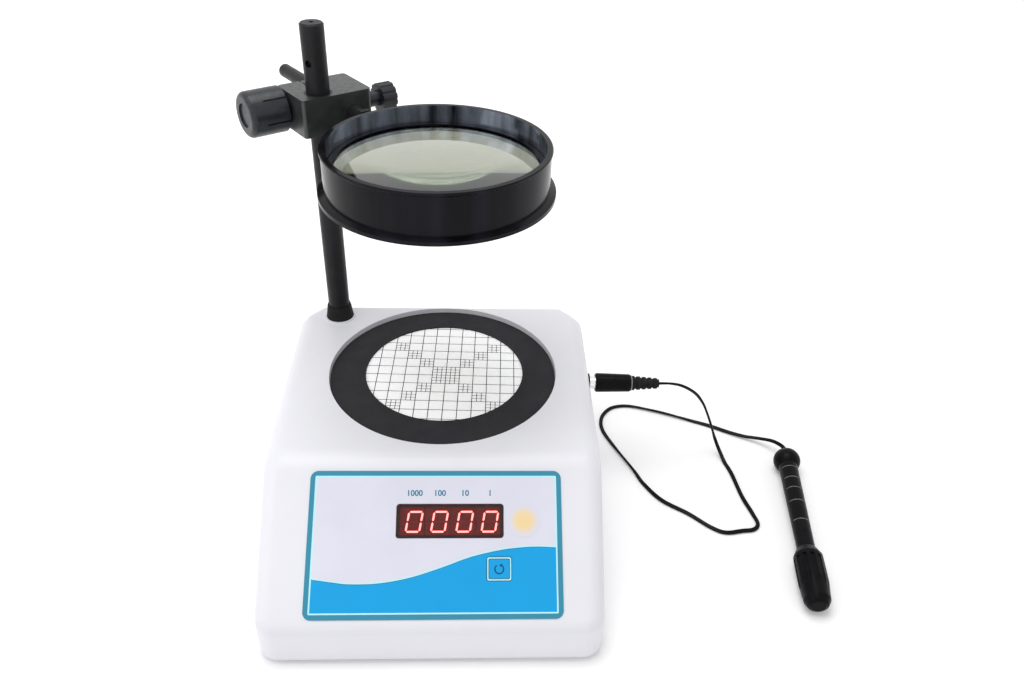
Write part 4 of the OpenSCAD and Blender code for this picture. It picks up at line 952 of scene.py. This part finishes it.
def turn_glass(name, around=160):
    """Turns the profile round its axis, with a point in the middle of each face."""
    below, above = glass_profile()
    tall = LENS_EDGE / 2 + LENS_BULGE
    points = [(0, 0, -tall), (0, 0, tall)]
    profile = below + above
    for r, z in profile:
        points += [(r * math.cos(2 * math.pi * k / around), r * math.sin(2 * math.pi * k / around),
                    z) for k in range(around)]
    faces = []
    for k in range(around):
        n = (k + 1) % around
        faces.append((0, 2 + n, 2 + k))
        for i in range(len(profile) - 1):
            a, b = 2 + i * around, 2 + (i + 1) * around
            faces.append((a + k, a + n, b + n, b + k))
        last = 2 + (len(profile) - 1) * around
        faces.append((last + k, last + n, 1))
    points = [[(c + m) * MM for c, m in zip(p, lens_mid)] for p in points]
    glass = make_piece(name, points, faces, lens_glass, "lens_arm")
    rim = set(range(2 + (len(below) - 1) * around, 2 + (len(below) + 1) * around))
    for edge in glass.data.edges:
        edge.use_edge_sharp = rim.issuperset(edge.vertices)
    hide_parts("lens")
    return glass


lens_piece = turn_glass("lens_glass_piece")
print("lens points:", len(lens_piece.data.vertices))

# %% [markdown]
# ## Inside the drum
# The drum is enamelled the same black inside and out. Its inner wall gets a
# bluish metallic colour in upright patches: painted reflections. Each face of a
# mesh can use its own material slot, so the faces inside a set radius use the
# second. Two pieces would show a seam.

# %% Paint reflections inside the drum
INNER_R = 69.0
drum_mesh = solids["lens_drum"].data
# faces of the inner wall take the finish with painted reflections
drum_mesh.materials.append(drum_inside_painted_reflection)
for face in drum_mesh.polygons:
    centre = face.center / MM
    if math.hypot(centre.x - lens_mid[0], centre.y - lens_mid[1]) < INNER_R:
        face.material_index = 1
print("inner faces:", sum(face.material_index for face in drum_mesh.polygons))

# %% [markdown]
# ## Small things on the pen and plug
# The pen's barrel has finger grooves with a raised ridge between each pair,
# lighter grey over its upper side: a painted highlight. The plug has a pale
# washer where the rubber relief begins. Both are bands bent round their axis, so
# one helper makes them.

# %% Bands on the pen and plug
BAND_SUNK = 0.4  # how deep a band's foot goes into what carries it
DEGREES_PER_RING = 6
END_RISE, RAMP = 0.05, 5  # share of the height at an end, and how fast it grows


def band(name, middle, axis, radius, wide, high, from_degrees, to_degrees, finish, body):
    """A rounded band round an axis, between two angles measured from straight up."""
    up = Vector((0, 0, 1))
    side = axis.cross(up).normalized()
    whole = to_degrees - from_degrees >= 360
    steps = max(6, round(abs(to_degrees - from_degrees) / DEGREES_PER_RING))
    rings = []
    for k in range(steps if whole else steps + 1):
        share = k / steps
        angle = math.radians(from_degrees + (to_degrees - from_degrees) * share)
        out = up * math.cos(angle) + side * math.sin(angle)
        rise = high if whole else high * min(1.0, RAMP * min(share, 1 - share) + END_RISE)
        section = [(-BAND_SUNK, -0.5), (rise * 0.6, -0.5), (rise, 0.0), (rise * 0.6, 0.5),
                   (-BAND_SUNK, 0.5)]
        rings.append([(middle + out * (radius + lift) + axis * (wide * shift)) * MM
                      for lift, shift in section])
    sweep(name, rings, finish, body, loop=whole)


BARREL_START, BARREL_LONG = 21.0, 92.5
BARREL_R, BARREL_NARROWS = 7.2, 0.9
RIDGES = (23.6, 35.6, 46.8, 60.3, 79.5)  # distance of each from the pen's head
# the ridges' lighter grey over their upper side is a painted highlight
ridge_painted_highlight = finish_of("ridge_painted_highlight", (0.12, 0.12, 0.12), 0.3, 0.08, 0.8, 0.004, 3, 0.4)
for i, along in enumerate(RIDGES):
    radius = BARREL_R - BARREL_NARROWS * (along - BARREL_START) / BARREL_LONG
    band("pen_ridge_%d" % (i + 1), PEN + PEN_ALONG * along, PEN_ALONG, radius, 0.7, 0.18,
         -42, 62, ridge_painted_highlight, "probe")
WASHER_OUT, WASHER_R = 35.6, 5.9
pale_washer = finish_of("pale_washer", (0.5, 0.44, 0.4), 0.4, 0.06, 0.6, 0.004, 4, 0.1)
band("plug_washer", JACK + JACK_OUT * WASHER_OUT, JACK_OUT, WASHER_R, 0.5, 0.3, 0, 360,
     pale_washer, "probe")
print("ridges:", len(RIDGES), "and one washer")
